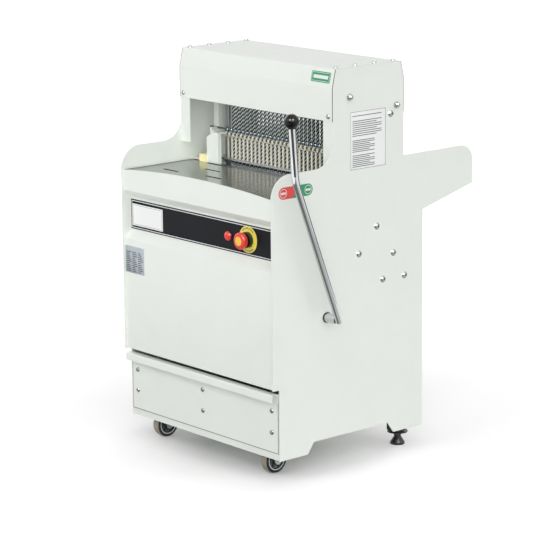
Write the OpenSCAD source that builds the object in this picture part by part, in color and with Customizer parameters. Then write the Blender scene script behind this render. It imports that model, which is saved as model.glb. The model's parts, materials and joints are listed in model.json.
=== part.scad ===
// Bread slicer machine: a floor cabinet with two blade frames, a lever-driven pusher and a crumb drawer.
// x runs across the machine, y from the side plates' front edge to the back, z up from the floor.

/* [Cabinet] */
// Width over the two side plates
body_w = 600; // [580:1:640]
// Thickness of a side plate
plate_t = 3; // [2:0.5:4]
// Thickness of the bent sheet panels
panel_t = 2; // [1.5:0.5:2.5]
// Depth of the lower cabinet
cabinet_d = 514; // [504:1:540]
// Height of the side plates' lower edge
plate_bottom_z = 55; // [50:1:60]
// Height of the notch in the side plates' lower edge
notch_h = 29; // [15:1:34]
// Front end of that notch
notch_front_y = 114; // [105:1:125]
// Length of the side plates' rear foot behind that notch
rear_foot_l = 102; // [94:1:114]
// Run of the notch's sloped ends
notch_slope = 21; // [10:1:30]
// Set-back of the side plates beside the drawer
step_y = 21; // [18:1:26]
// Height of the drawer opening's upper edge
step_z = 240; // [238:1:246]

/* [Shoulder and wing] */
// Height of the side plates' shoulder and wing above the table
shoulder_h = 60; // [50:1:70]
// Radius of the front shoulder
shoulder_r = 60; // [30:1:80]
// Radius between shoulder and head
neck_r = 60; // [30:1:80]
// Rear end of the wing
wing_y = 695; // [660:1:740]
// Drop of the wing's lower rear corner below the table
wing_drop = 42; // [40:1:60]
// Drop of the wing's root at the cabinet's rear edge below the table
root_drop = 89; // [70:1:105]
// Radius of the wing's upper corner
wing_r = 40; // [20:1:60]

/* [Head] */
// Front edge of the head's side plates
head_front_y = 204; // [198:1:208]
// Rear edge of the head's side plates
head_rear_y = 445; // [440:1:470]
// Top of the head cover above the table
head_h = 303; // [298:1:320]
// Run of the head's sloped edges
head_bevel_y = 11; // [6:1:16]
// Drop of the head's sloped edges
head_bevel_h = 46; // [30:1:52]
// Height of the mouth: the head cover's lower edge above the table
mouth_h = 172; // [160:1:180]
// Width of the flanges folded in from the side plates
flange_w = 34; // [28:1:36]
// Lower end of the head flanges above the table
flange_h = 53; // [50:1:60]

/* [Front fascia] */
// Set-back of the fascia from the side plates' front edge
fascia_y = 6; // [4:1:8]
// Drop of the control recess's middle below the table
recess_drop = 118; // [112:1:124]
// Height of the recess floor
recess_h = 90; // [88:1:100]
// Depth of the recess and run of its sloped edges
recess_bevel = 20; // [16:1:22]
// Rise of the apron's arched upper edge at the middle
arch_h = 15; // [8:1:20]
// Width of the ledge that carries the table's front edge
ledge_w = 22; // [15:1:26]
// Height of the black control panel
control_h = 79; // [76:1:84]
// Thickness of the control panel
control_t = 1.5; // [1:0.5:2]
// Gap between the control panel's ends and the side plates
control_end_gap = 5; // [2:1:10]

/* [Tables] */
// Height of the table and tray
table_z = 720; // [705:1:780]
// Thickness of the table and tray sheets
table_t = 2; // [1.5:0.5:2.5]
// Gap between the table and the side plates
table_gap = 6; // [5.5:0.5:7]
// Gap between the table edges and the blades
blade_slot = 4; // [3:0.5:4.5]
// Depth of the tray's folded rear lip
tray_lip_h = 38; // [20:1:40]
// Gap between the tray's lip and the wing's end
tray_end_gap = 5; // [3:1:12]

/* [Blades] */
// Number of blades
blade_count = 24; // [20:2:24]
// Distance between blades
blade_pitch = 15.8; // [15.2:0.1:15.9]
// Thickness of a blade
blade_t = 0.8; // [0.6:0.1:1.2]
// Width of a blade
blade_w = 13; // [12:0.5:15]
// Front edge of the blades
blade_y = 281; // [280:0.5:282]
// Running gap between blades and the other frame's bars
blade_gap = 1; // [0.8:0.1:1.2]

/* [Frames] */
// Height of a frame bar
bar_h = 30; // [24:1:32]
// Thickness of a frame bar
bar_t = 15; // [13:0.5:16]
// Drop of the lower bars' lower edge below the table
low_bar_drop = 90; // [86:1:94]
// Rise of the upper bars' lower edge above the table
top_bar_rise = 210; // [206:1:214]
// Half length of the frame bars
bar_half = 262; // [250:0.5:275]
// Width of a frame upright
upright_w = 8; // [6:0.5:8]
// Gap between the outer blade and the front upright
upright_gap = 10; // [9:0.5:10]
// Gap between the two frames' uprights
upright_space = 2; // [1.5:0.5:3]
// Width of a blade hook
hook_w = 5; // [3:0.5:6]
// Height of a blade hook
hook_h = 8; // [5:1:9]
// Guide post width
post_w = 20; // [16:1:20]
// Running gap between guide shoes and posts
shoe_gap = 0.5; // [0.3:0.1:0.8]
// Thickness of a guide shoe's cheek
shoe_t = 5.5; // [4:0.5:6]

/* [Crank drive] */
// Drop of the crankshaft below the table
crank_drop = 290; // [285:1:295]
// Radius of the crankshaft
crank_r = 12.5; // [10:0.5:14]
// Radius of an eccentric
eccentric_r = 30; // [30:0.5:32]
// Wall of a connecting rod's large eye
big_eye_wall = 10; // [7:0.5:11]
// Length of a connecting rod between its eyes
conrod_l = 140; // [136:1:142]
// Thickness of a connecting rod
conrod_t = 8; // [6:0.5:8]
// Radius of a connecting rod's small eye
small_eye_r = 13; // [11:0.5:14]
// Radius of the wrist pin holes
wrist_r = 5; // [4:0.5:6]
// Inset of the front frame's lugs from the guide posts
front_lug_inset = 24; // [20:1:28]
// Least gap between the crank pulley and the rear frame's lugs
rear_lug_gap = 6; // [4:0.5:10]
// Thickness of a lug
lug_t = 8; // [6:0.5:8]
// Side gap between a lug and its connecting rod
lug_gap = 1; // [0.5:0.1:1]
// Radius of the crank pulley
crank_pulley_r = 85; // [80:1:88]
// Radius of the motor pulley
motor_pulley_r = 40; // [36:1:44]
// Width of the pulleys
pulley_w = 24; // [20:1:26]
// Inset of the belt's middle from the front frame's lugs
belt_inset = 32; // [30:1:40]
// Width of the belt
belt_w = 10; // [8:0.5:12]
// Thickness of the belt
belt_t = 8; // [6:0.5:9]
// Motor axis in front of the cabinet's rear edge
motor_inset = 94; // [88:1:100]
// Drop of the motor axis below the crankshaft
motor_drop = 100; // [90:1:110]
// Radius of the motor
motor_r = 62; // [58:1:66]
// Length of the motor
motor_l = 190; // [170:1:200]
// Radius of the motor shaft
motor_shaft_r = 9.5; // [8:0.5:11]
// Bearing plate thickness
bearing_t = 8; // [7:0.5:10]

/* [Lever and pusher] */
// Lever pivot behind the side plates' front edge
lever_y = 180; // [176:1:184]
// Drop of the lever pivot below the table
lever_drop = 320; // [314:1:324]
// Middle of the lever rod outside the right side plate
lever_out = 44; // [36:1:56]
// Radius of the lever rod
lever_r = 9; // [7:0.5:10]
// Length of the lever's lower stretch
lever_low_l = 392; // [370:1:420]
// Lean of the lower stretch towards the front
lever_low_a = 20.8; // [17:0.1:23]
// Length of the lever's upper stretch to the ball's middle
lever_up_l = 152; // [130:1:170]
// Lean of the upper stretch towards the front
lever_up_a = 4.2; // [2:0.1:8]
// Radius of the lever's bend
lever_bend_r = 110; // [80:5:250]
// Diameter of the lever's ball
ball_d = 37; // [34:1:44]
// Radius of the lever's hub
hub_r = 12; // [10.5:0.5:14]
// Radius of the lever shaft
shaft_r = 8.5; // [7:0.5:10]
// Wall of the lever bush
bush_wall = 3; // [2.5:0.5:4]
// Thickness of the fork arms
fork_t = 5; // [4:0.5:5]
// Width of the fork's slot
fork_slot = 17; // [16:0.5:18]
// Drive pin behind the side plates' front edge
pin_y = 246; // [244:0.5:247]
// Drop of the drive pin below the table
pin_drop = 60; // [56:1:65]
// Radius of the drive pin
pin_r = 4; // [3.5:0.5:4.5]
// Outer ends of the pusher
pusher_half = 232; // [228:1:236]
// Width of the pusher's left post
pusher_post_w = 46; // [40:1:50]
// Thickness of the pusher's left post
pusher_post_t = 12; // [8:0.5:13]
// Height of the pusher's left post above the table
pusher_post_h = 84; // [78:1:85]
// Height of the pusher's finger rod above the table
pusher_rod_h = 78; // [74:1:79]
// Height of the pusher's bead rod above the table
bead_rod_h = 91; // [90:1:97]
// Radius of the finger rod
upper_rod_r = 3; // [2.5:0.25:3.5]
// Radius of the lower rod
lower_rod_r = 3; // [2:0.5:4]
// Radius of the bead rod
bead_rod_r = 2.5; // [2:0.25:3]
// Radius of a bead
bead_r = 4.5; // [3.5:0.25:5]
// Width of a finger
finger_w = 7; // [5:0.5:9]
// Thickness of a finger's strip
finger_t = 3.5; // [2.5:0.5:4.5]
// Gap between the fingers and the blades
finger_gap = 5; // [4:0.5:7]
// Width of a slide shoe
slide_w = 28; // [24:1:30]
// Depth of a slide shoe
slide_d = 28; // [24:1:30]
// Height of a slide shoe
slide_h = 20; // [18:1:24]

/* [Drawer] */
// Height of the drawer front's lower edge
drawer_z = 73.5; // [72:0.5:76]
// Gap between the drawer lip and the fascia
drawer_top_gap = 11; // [8:1:14]
// Reach of the drawer lip
lip_d = 20; // [16:1:20]
// Height of the drawer lip
lip_h = 20; // [16:1:24]
// Gap between the drawer front and the side plates
drawer_side_gap = 1.5; // [1:0.5:3]
// Depth of the drawer box
drawer_d = 380; // [340:1:400]
// Height of the drawer box
drawer_box_h = 105; // [90:1:108]
// Wall of the drawer box
drawer_t = 1.5; // [1:0.5:2]
// Width of a drawer rail
rail_w = 26; // [22:1:30]

/* [Emergency stop and lamp] */
// Emergency stop, right of the middle
estop_x = 183; // [175:1:190]
// Height of the emergency stop above the recess middle
estop_up = 2; // [0:0.5:4]
// Diameter of the yellow disc
estop_disc_d = 68; // [60:1:70]
// Diameter of the red head
estop_head_d = 43; // [36:1:46]
// Thickness of the red head
estop_head_t = 16; // [12:1:18]
// Travel of the emergency stop
estop_travel = 4; // [3:0.5:5]
// Diameter of the collar
estop_collar_d = 40; // [30:1:42]
// Length of the collar
estop_collar_l = 10; // [6:0.5:12]
// Radius of the stem
estop_stem_r = 7; // [6:0.5:7.5]
// Lamp, right of the middle
lamp_x = 107; // [100:1:115]
// Diameter of the lamp
lamp_d = 26; // [20:1:30]
// Height of the lamp's dome
lamp_h = 9; // [6:0.5:12]

/* [Casters and feet] */
// Radius of a caster wheel
wheel_r = 35; // [33:0.5:36]
// Width of a caster wheel
wheel_w = 26; // [22:1:28]
// Radius of the wheel's hub
wheel_hub_r = 27; // [24:0.5:28]
// Inset of the casters from the side plates
caster_inset = 77; // [73:1:82]
// Caster pivots behind the side plates' front edge
caster_y = 94; // [92:1:98]
// Trail of a caster
caster_trail = 25; // [20:1:26]
// Height of the base pan's underside
pan_z = 95; // [93:1:97]
// Radius of a caster axle
axle_r = 4; // [3:0.5:5]
// Radius of a caster kingpin
kingpin_r = 5; // [4:0.5:6]
// Inset of the levelling feet from the side plates
foot_side_inset = 48; // [45:1:53]
// Levelling feet in front of the cabinet's rear edge
foot_inset = 39; // [36:1:44]
// Radius of a foot's base
foot_r = 19; // [16:0.5:24]
// Radius of a foot's neck
foot_neck_r = 9.5; // [8:0.5:12]
// Radius of a foot's hand flange
foot_flange_r = 27; // [24:0.5:28]
// Radius of a foot's stud
stud_r = 6; // [5:0.5:8]

/* [Fasteners] */
// Radius of a dome bolt's head
dome_r = 9; // [7:0.5:10]
// Height of a dome bolt's head
dome_h = 5; // [3:0.5:6]
// Height of the two long bolt heads on each side
long_head_h = 12; // [8:0.5:14]
// Radius of a bolt's shank
bolt_r = 4; // [3:0.5:5]
// Radius of a sheet screw's head
screw_head_r = 6; // [4.5:0.5:7]
// Height of a sheet screw's head
screw_head_h = 4; // [2.5:0.5:5]
// Radius of a sheet screw's shank
screw_r = 2.5; // [2:0.25:3]

/* [Fits] */
// Radial running clearance of shafts and pins
fit = 0.05; // [0.02:0.01:0.08]
// Clearance between sliding faces
slide_gap = 0.3; // [0.2:0.05:0.5]

/* [Hidden] */
$fn = 64;
// How far a cut runs past the surface it opens
over = 1;
paint = [0.88, 0.89, 0.86];
steel = [0.72, 0.74, 0.72];
bright = [0.85, 0.86, 0.87];
dark = [0.16, 0.17, 0.18];
beige = [0.83, 0.78, 0.66];
red = [0.82, 0.10, 0.08];
yellow = [0.95, 0.78, 0.10];
grey = [0.45, 0.47, 0.48];

// Heights that follow the table
shoulder_z = table_z + shoulder_h;
wing_bottom_z = table_z - wing_drop;
wing_root_z = table_z - root_drop;
head_top_z = table_z + head_h;
mouth_top_z = table_z + mouth_h;
flange_bottom_z = table_z + flange_h;
recess_z = table_z - recess_drop;
low_bar_z = table_z - low_bar_drop;
top_bar_z = table_z + top_bar_rise;
crank_z = table_z - crank_drop;
lever_z = table_z - lever_drop;
pin_z = table_z - pin_drop;

// Side plates and head: the cabinet is at least as wide as the frames and the forks beside them
fork_side_gap = 1;
fork_clear = 8;
frame_room = bearing_t + fork_side_gap + fork_t + fork_clear;
plate_in = max(body_w / 2 - plate_t, bar_half + frame_room);
plate_out = plate_in + plate_t;
notch_rear_y = cabinet_d - rear_foot_l;
plate_top_z = head_top_z - panel_t;
head_bevel_z = plate_top_z - head_bevel_h;
flange_in = plate_in - flange_w;
head_path = [
    [head_front_y, mouth_top_z],
    [head_front_y, head_bevel_z],
    [head_front_y + head_bevel_y, plate_top_z],
    [head_rear_y - head_bevel_y, plate_top_z],
    [head_rear_y, head_bevel_z],
    [head_rear_y, mouth_top_z]
];
rear_set_back = 4;
rear_panel_y = cabinet_d - rear_set_back - panel_t;
gland_r = 10;
gland_inset = 97;
gland_x = gland_inset - plate_in;
gland_z = 150;

// Front fascia and control panel
recess_y = fascia_y + recess_bevel;
recess_top_z = recess_z + recess_h / 2;
recess_bottom_z = recess_z - recess_h / 2;
return_w = 20;
fascia_path = [
    [fascia_y, table_z],
    [fascia_y, recess_top_z + recess_bevel],
    [recess_y, recess_top_z],
    [recess_y, recess_bottom_z],
    [fascia_y, recess_bottom_z - recess_bevel],
    [fascia_y, step_z],
    [fascia_y + return_w, step_z]
];
arch_r = (plate_in * plate_in + arch_h * arch_h) / (2 * arch_h);
control_y = recess_y - control_t;
control_half = plate_in - control_end_gap;

// Blade frames: front bars, blade zone and rear bars, one behind the other
front_bar_y = blade_y - blade_gap - bar_t;
zone_front_y = blade_y - blade_gap;
zone_rear_y = blade_y + blade_w + blade_gap;
blade_mid_y = blade_y + blade_w / 2;
blade_low_z = low_bar_z;
blade_top_z = top_bar_z + bar_h;
post_x = bar_half - shoe_t - shoe_gap - post_w;
upright_end_gap = 2;
upright_room = upright_gap + 2 * upright_w + upright_space + upright_end_gap;
blade_fit = 2 * floor((post_x - shoe_gap - shoe_t - upright_room) / blade_pitch + 1 / 2);
blades = min(blade_count, blade_fit);
blade_half = (blades - 1) / 2 * blade_pitch;
front_upright_x = blade_half + upright_gap;
rear_upright_x = front_upright_x + upright_w + upright_space;
hook_inset = 3;
hook_seat = 0.02;
cheek_d = blade_w / 2;
function blade_at(i) = i * blade_pitch - blade_half;

// Crank drive
front_pin_y = front_bar_y + bar_t / 2;
rear_pin_y = zone_rear_y + bar_t / 2;
crank_y = (front_pin_y + rear_pin_y) / 2;
crank_e = (rear_pin_y - front_pin_y) / 2;
big_eye_r = eccentric_r + fit + big_eye_wall;
wrist_z = crank_z + conrod_l;
lug_w = 2 * small_eye_r;
front_lug_x = post_x - front_lug_inset;
belt_x = front_lug_x - belt_inset;
bay_slack = 0.01;
lug_bay = floor((belt_x - pulley_w / 2 - rear_lug_gap - lug_t / 2) / blade_pitch + bay_slack);
rear_lug_x = lug_bay * blade_pitch - lug_t / 2;
front_rod_x = front_lug_x + lug_t + lug_gap;
rear_rod_x = rear_lug_x - lug_gap - conrod_t;
rod_web = 20;
groove_over = 1;
groove_d = belt_t + groove_over;
belt_seat = slide_gap;
crank_seat_r = crank_pulley_r - groove_d;
motor_seat_r = motor_pulley_r - groove_d;
motor_gap = 35;
motor_left_x = pulley_w / 2 + motor_gap - belt_x;
motor_right_x = motor_left_x + motor_l;
motor_shaft_in = 60;
motor_clear = 1;
shelf_rise = 5;
shelf_reach = 75;
shelf_z = step_z + shelf_rise;
pulley_space = 5;
belt_run = crank_pulley_r + motor_pulley_r + pulley_space;
motor_y = cabinet_d - motor_inset;
motor_back = motor_y - crank_y;
motor_fall = max(motor_drop, sqrt(max(0, belt_run * belt_run - motor_back * motor_back)));
motor_z = max(crank_z - motor_fall, shelf_z + motor_r + motor_clear);
shelf_front_y = motor_y - shelf_reach;
bearing_in = plate_in - bearing_t;
bearing_fore = 37.5;
bearing_inset = 44;
bearing_low = 35;
bearing_high = 210;
bearing_y = [crank_y - bearing_fore, cabinet_d - bearing_inset];
bearing_z = [crank_z - bearing_low, crank_z + bearing_high];
boss_r = 34;
boss_l = 14;
arm_t = 15;
arm_drop = 70;
arm_rise = 25;
arm_low_z = [low_bar_z - arm_drop - arm_t, low_bar_z - arm_drop];
arm_top_z = [top_bar_z + bar_h + arm_rise, top_bar_z + bar_h + arm_rise + arm_t];
bracket_fore = 47.5;
bracket_aft = 12.5;
bracket_h = 70;
bracket_y = [blade_mid_y - bracket_fore, blade_mid_y + bracket_aft];
bracket_z = arm_top_z[1] - bracket_h;

// Lever, forks and pusher
lever_x = plate_out + lever_out;
fork_a = atan((pin_y - lever_y) / (pin_z - lever_z));
fork_x = bearing_in - fork_side_gap - fork_t;
fork_end_gap = 8;
pusher_travel = 170;
fork_reach = norm([pin_y - pusher_travel - lever_y, pin_z - lever_z]) + fork_end_gap;
fork_root = pin_z - lever_z - fork_slot;
fork_wall = 8;
fork_hub_r = 20;
bush_r = shaft_r + fit + bush_wall;
bush_lip = 2;
bush_flange_r = bush_r + bush_lip;
bush_flange_t = 3;
hub_gap = 1;
hub_cope = 4;
hub_x = [plate_out + bush_flange_t + hub_gap, lever_x - lever_r + hub_cope];
lever_end_bevel = 4;
lever_bend = [
    lever_y - lever_low_l * sin(lever_low_a),
    lever_z + lever_low_l * cos(lever_low_a)
];
ball_seat = 3;
bend_over = 0.2;
bend_lap = 2;
lever_ball = lever_bend + lever_up_l * [-sin(lever_up_a), cos(lever_up_a)];
bend_tangent = lever_bend_r * tan((lever_low_a - lever_up_a) / 2);
finger_rear_y = blade_y - finger_gap;
finger_front_y = finger_rear_y - finger_t;
curl_r = upper_rod_r + fit + finger_t;
upper_rod_y = finger_rear_y - curl_r;
upper_rod_z = table_z + pusher_rod_h;
lower_rod_y = finger_front_y - fit - lower_rod_r;
lower_rod_h = 10;
lower_rod_z = table_z + lower_rod_h;
finger_foot_gap = 8;
bead_lead = 2.5;
bead_rod_y = upper_rod_y - bead_lead;
bead_rod_z = table_z + bead_rod_h;
bead_rod_end = 22;
bead_rod_half = pusher_half + bead_rod_end;
post_lead = 5;
pusher_front_y = pin_y - pusher_post_t / 2 - post_lead;
post_top_z = table_z + pusher_post_h;
post_cut = [26, 16];
ledge_t = 3;
ledge_over = 8;
web_t = 8;
web_gap = 1;
web_top = 1.5;
slide_y = pin_y - slide_d / 2;
slide_z = table_z + slide_gap;
tongue_t = 3;
tongue_w = 16;
tongue_x = plate_in - table_gap / 2 - tongue_t / 2;
tongue_rise = 2;
tongue_h = 4;
tongue_bar_z = [table_z + tongue_rise, table_z + tongue_rise + tongue_h];
pin_nose = 2;

// Drawer
drawer_half = plate_in - drawer_side_gap;
drawer_proud = 1;
drawer_y = step_y - drawer_proud;
lip_top_z = step_z - drawer_top_gap;
pan_front_y = step_y + panel_t;
rail_rise = 11;
rail_z = pan_z + panel_t + rail_rise;
box_z = rail_z + panel_t + slide_gap;
box_side_gap = 13;
box_half = plate_in - box_side_gap;
seam = 0.02;
drawer_lip_path = [
    [drawer_y - lip_d, lip_top_z - lip_h],
    [drawer_y - lip_d, lip_top_z],
    [drawer_y + panel_t, lip_top_z],
    [drawer_y + panel_t, drawer_z]
];

// Emergency stop
estop_z = recess_z + estop_up;
disc_t = 1.5;
disc_y = control_y - disc_t;
collar_y = disc_y - estop_collar_l;
press_gap = 1;
head_back_y = collar_y - estop_travel - press_gap;
head_face_y = head_back_y - estop_head_t;
cap_t = 1;
cap_r = 10;
stem_back_y = recess_y + panel_t;
stem_in_head = 7;
stem_gap = 1;
socket_depth = 20;
lamp_hole_r = 8;

// Casters and feet
caster_x = plate_in - caster_inset;
foot_x = plate_in - foot_side_inset;
wheel_gap = 2.5;
cheek_t = 3;
fork_over = 8;
fork_top_z = 2 * wheel_r + fork_over;
crown_t = 4;
cup_z = fork_top_z + crown_t + slide_gap;
mount_t = 3;
foot_flange_z = 33;
foot_flange_t = 3;
socket_z = 38;
socket_w = 40;
socket_back = 10;
stud_cover = 10;
stud_top_z = pan_z - stud_cover;
foot_y = cabinet_d - foot_inset;

// The origin is under the middle of the whole machine
front_reach_y = min(head_face_y - cap_t, drawer_y - lip_d);
mid_y = (front_reach_y + wing_y) / 2;
mid_x = (lever_x + ball_d / 2 - plate_out - long_head_h) / 2;

// Bolts in a side plate, as [y, z]: long heads, a dome in the head, and domes in the bearing plate
fore_bolt_at = [54, 229];
rear_bolt_at = [-26, 193];
head_dome_at = [-44, 172];
fore_domes_at = [[65.5, 179], [3.5, 116]];
rear_domes_at = [[-59, 102], [-96, 38], [-20, 37]];
long_bolts = [[head_front_y, table_z] + fore_bolt_at, [head_rear_y, table_z] + rear_bolt_at];
head_domes = [[head_rear_y, table_z] + head_dome_at];
bearing_domes = concat(
    [for (p = fore_domes_at) [crank_y, crank_z] + p],
    [for (p = rear_domes_at) [bearing_y[1], crank_z] + p]
);
bolt_seat = 6;
cover_screw_count = 4;
cover_screw_inset = 12;
cover_screw_x = plate_in - cover_screw_inset;
front_screw_z = mouth_top_z + cover_screw_inset;
rear_screw_z = [160, 380, 600];
drawer_screw_x = [-box_half + cover_screw_inset, 0, box_half - cover_screw_inset];
drawer_screw_up = [52.5, 108.5];
drawer_screw_z = [for (up = drawer_screw_up) drawer_z + up];
tie_at = (long_bolts[1] + head_domes[0]) / 2;

// Points of a bent sheet: a path and the same path moved by the sheet's thickness to its left
function unit(v) = v / norm(v);
function edge_normal(p, i) = let (u = unit(p[i + 1] - p[i])) [-u[1], u[0]];
function mitre(p, i, t) =
    let (a = edge_normal(p, max(i - 1, 0)), b = edge_normal(p, min(i, len(p) - 2)))
    t * (a + b) / (1 + a * b);
function sheet(p, t) = concat(p, [for (i = [len(p) - 1 : -1 : 0]) p[i] + mitre(p, i, t)]);

// Moves the machine so that its origin is under its middle
module place() {
    translate([-mid_x, -mid_y, 0]) children();
}

// Draws its children on the right and mirrored on the left
module both_sides() {
    children();
    mirror([1, 0, 0]) children();
}

// A block between two corners
module block(low, high) {
    translate(low) cube(high - low);
}

// A profile drawn in y and z, carried along x
module along_x(x0, x1) {
    translate([x0, 0, 0]) rotate([90, 0, 90]) linear_extrude(x1 - x0) children();
}

// A profile drawn in x and z, carried along y
module along_y(y0, y1) {
    translate([0, y1, 0]) rotate([90, 0, 0]) linear_extrude(y1 - y0) children();
}

// A round bar along x
module bar_x(r, x0, x1, y, z) {
    translate([x0, y, z]) rotate([0, 90, 0]) cylinder(r = r, h = x1 - x0);
}

// A round bar along y
module bar_y(r, y0, y1, x, z) {
    translate([x, y0, z]) rotate([-90, 0, 0]) cylinder(r = r, h = y1 - y0);
}

// A round bar along z on the z axis
module cylinder_z(r, z0, z1) {
    translate([0, 0, z0]) cylinder(r = r, h = z1 - z0);
}

// A domed head on a shank: the head rises along z from z = 0
module domed_screw(head_r, head_h, shank_r, shank_l) {
    ball_r = (head_r * head_r + head_h * head_h) / (2 * head_h);
    rotate_extrude() intersection() {
        translate([0, head_h - ball_r]) circle(ball_r);
        square([head_r, head_h]);
    }
    translate([0, 0, -shank_l]) cylinder(r = shank_r, h = shank_l);
}

// Straight corners of a side plate, with the head's own path among them
function plate_corners() = concat(
    [[step_y, plate_bottom_z], [step_y, step_z], [0, step_z], [0, shoulder_z], [head_front_y, shoulder_z]],
    [for (i = [1 : 4]) head_path[i]],
    [[head_rear_y, shoulder_z], [wing_y, shoulder_z], [wing_y, wing_bottom_z], [cabinet_d, wing_root_z]],
    [[cabinet_d, plate_bottom_z], [notch_rear_y, plate_bottom_z]],
    [[notch_rear_y - notch_slope, plate_bottom_z + notch_h]],
    [[notch_front_y + notch_slope, plate_bottom_z + notch_h], [notch_front_y, plate_bottom_z]]
);

// What a round corner takes away: a square of side r less a circle round its far corner
module corner_waste(r) {
    difference() {
        square(r + over);
        circle(r);
    }
}

module plate_outline() {
    difference() {
        union() {
            polygon(plate_corners());
            translate([head_front_y - neck_r, shoulder_z + neck_r]) mirror([0, 1]) corner_waste(neck_r);
        }
        translate([shoulder_r, shoulder_z - shoulder_r]) mirror([1, 0]) corner_waste(shoulder_r);
        translate([wing_y - wing_r, shoulder_z - wing_r]) corner_waste(wing_r);
        translate([lever_y, lever_z]) circle(bush_r + fit);
        for (p = concat(long_bolts, head_domes, bearing_domes)) translate(p) circle(bolt_r + fit);
    }
}

// Places of the screws on one side of the head's top
module at_top_screws() {
    first = head_front_y + head_bevel_y + cover_screw_inset;
    last = head_rear_y - head_bevel_y - cover_screw_inset;
    pitch = (last - first) / (cover_screw_count - 1);
    for (i = [0 : cover_screw_count - 1])
        translate([cover_screw_x, first + i * pitch, head_top_z]) children();
}

// Place of the screw on one side of the head's front, its head towards the front
module at_front_screw() {
    translate([cover_screw_x, head_front_y - panel_t, front_screw_z]) rotate([90, 0, 0]) children();
}

// Places of the rear panel's screws on one side, their heads towards the back
module at_rear_screws() {
    for (z = rear_screw_z)
        translate([plate_in - return_w / 2, rear_panel_y + panel_t, z]) rotate([-90, 0, 0]) children();
}

module screw_hole(depth) {
    translate([0, 0, -depth]) cylinder(r = screw_r + fit, h = 2 * depth);
}

module side_plate() {
    difference() {
        union() {
            along_x(plate_in, plate_out) plate_outline();
            block([flange_in, head_front_y, flange_bottom_z],
                  [plate_in, head_front_y + plate_t, head_bevel_z]);
            block([flange_in, head_rear_y - plate_t, flange_bottom_z],
                  [plate_in, head_rear_y, head_bevel_z]);
            block([flange_in, head_path[2][0], plate_top_z - plate_t],
                  [plate_in, head_path[3][0], plate_top_z]);
            block([plate_in - return_w, rear_panel_y - plate_t, pan_z + panel_t],
                  [plate_in, rear_panel_y, wing_root_z]);
        }
        at_top_screws() screw_hole(panel_t + 2 * plate_t);
        at_front_screw() screw_hole(panel_t + 2 * plate_t);
        at_rear_screws() screw_hole(panel_t + 2 * plate_t);
    }
}

module right_side_plate() {
    color(paint) side_plate();
}

module left_side_plate() {
    color(paint) mirror([1, 0, 0]) side_plate();
}

module front_fascia() {
    color(paint) difference() {
        union() {
            along_x(-plate_in, plate_in) polygon(sheet(fascia_path, panel_t));
            along_y(fascia_y, fascia_y + panel_t) intersection() {
                translate([-plate_in, table_z - panel_t]) square([2 * plate_in, arch_h + panel_t]);
                translate([0, table_z + arch_h - arch_r]) circle(arch_r);
            }
            block([-plate_in, fascia_y, table_z - table_t - panel_t],
                  [plate_in, fascia_y + ledge_w, table_z - table_t]);
        }
        bar_y(estop_stem_r + stem_gap, recess_y - over, recess_y + panel_t + over, estop_x, estop_z);
        bar_y(lamp_hole_r + fit, recess_y - over, recess_y + panel_t + over, lamp_x, recess_z);
    }
}

module control_panel() {
    color(dark) difference() {
        block([-control_half, control_y, recess_z - control_h / 2],
              [control_half, recess_y, recess_z + control_h / 2]);
        bar_y(estop_stem_r + stem_gap, control_y - over, recess_y + over, estop_x, estop_z);
        bar_y(lamp_hole_r + fit, control_y - over, recess_y + over, lamp_x, recess_z);
    }
}

module base_pan() {
    path = [
        [pan_front_y, plate_bottom_z],
        [pan_front_y, pan_z + panel_t],
        [rear_panel_y, pan_z + panel_t]
    ];
    color(paint) along_x(-plate_in, plate_in) polygon(sheet(path, -panel_t));
}

module rear_panel() {
    vent = [180, 8];
    vent_z = 430;
    vent_pitch = 24;
    vent_count = 5;
    color(paint) difference() {
        block([-plate_in, rear_panel_y, pan_z + panel_t],
              [plate_in, rear_panel_y + panel_t, table_z - table_t]);
        for (i = [0 : vent_count - 1])
            block([-vent[0] / 2, rear_panel_y - over, vent_z + i * vent_pitch],
                  [vent[0] / 2, rear_panel_y + panel_t + over, vent_z + i * vent_pitch + vent[1]]);
        both_sides() at_rear_screws() screw_hole(panel_t + 2 * plate_t);
        bar_y(gland_r + fit, rear_panel_y - over, rear_panel_y + panel_t + over, gland_x, gland_z);
    }
}

module cable_gland() {
    nut_r = 15;
    nut_l = 6;
    nose_r = 12;
    nose_l = 14;
    nose_y = rear_panel_y + panel_t + nut_l + nose_l;
    color(dark) difference() {
        union() {
            bar_y(gland_r, rear_panel_y - nut_l, rear_panel_y + panel_t + nut_l, gland_x, gland_z);
            translate([gland_x, rear_panel_y + panel_t, gland_z]) rotate([-90, 0, 0])
                cylinder(r = nut_r, h = nut_l, $fn = 6);
            bar_y(nose_r, rear_panel_y + panel_t + nut_l, nose_y, gland_x, gland_z);
        }
        bar_y(gland_r / 2, rear_panel_y - nut_l - over, nose_y + over, gland_x, gland_z);
    }
}

module motor_shelf() {
    path = [
        [shelf_front_y, shelf_z - return_w],
        [shelf_front_y, shelf_z],
        [rear_panel_y - plate_t, shelf_z]
    ];
    color(paint) along_x(-plate_in, plate_in) polygon(sheet(path, -panel_t));
}

module head_cover() {
    color(paint) difference() {
        along_x(-plate_out, plate_out) polygon(sheet(head_path, panel_t));
        both_sides() at_top_screws() screw_hole(panel_t + plate_t);
        both_sides() at_front_screw() screw_hole(panel_t + plate_t);
    }
}

module infeed_table() {
    half = plate_in - table_gap;
    slot = [58, 5];
    slot_at = [[-194, 230], [-128, 168], [-48, 105], [-204, 90]];
    color(steel) difference() {
        block([-half, fascia_y + panel_t, table_z - table_t], [half, blade_y - blade_slot, table_z]);
        for (p = slot_at)
            block([p[0] - slot[0] / 2, p[1] - slot[1] / 2, table_z - 2 * table_t],
                  [p[0] + slot[0] / 2, p[1] + slot[1] / 2, table_z + table_t]);
    }
}

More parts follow.
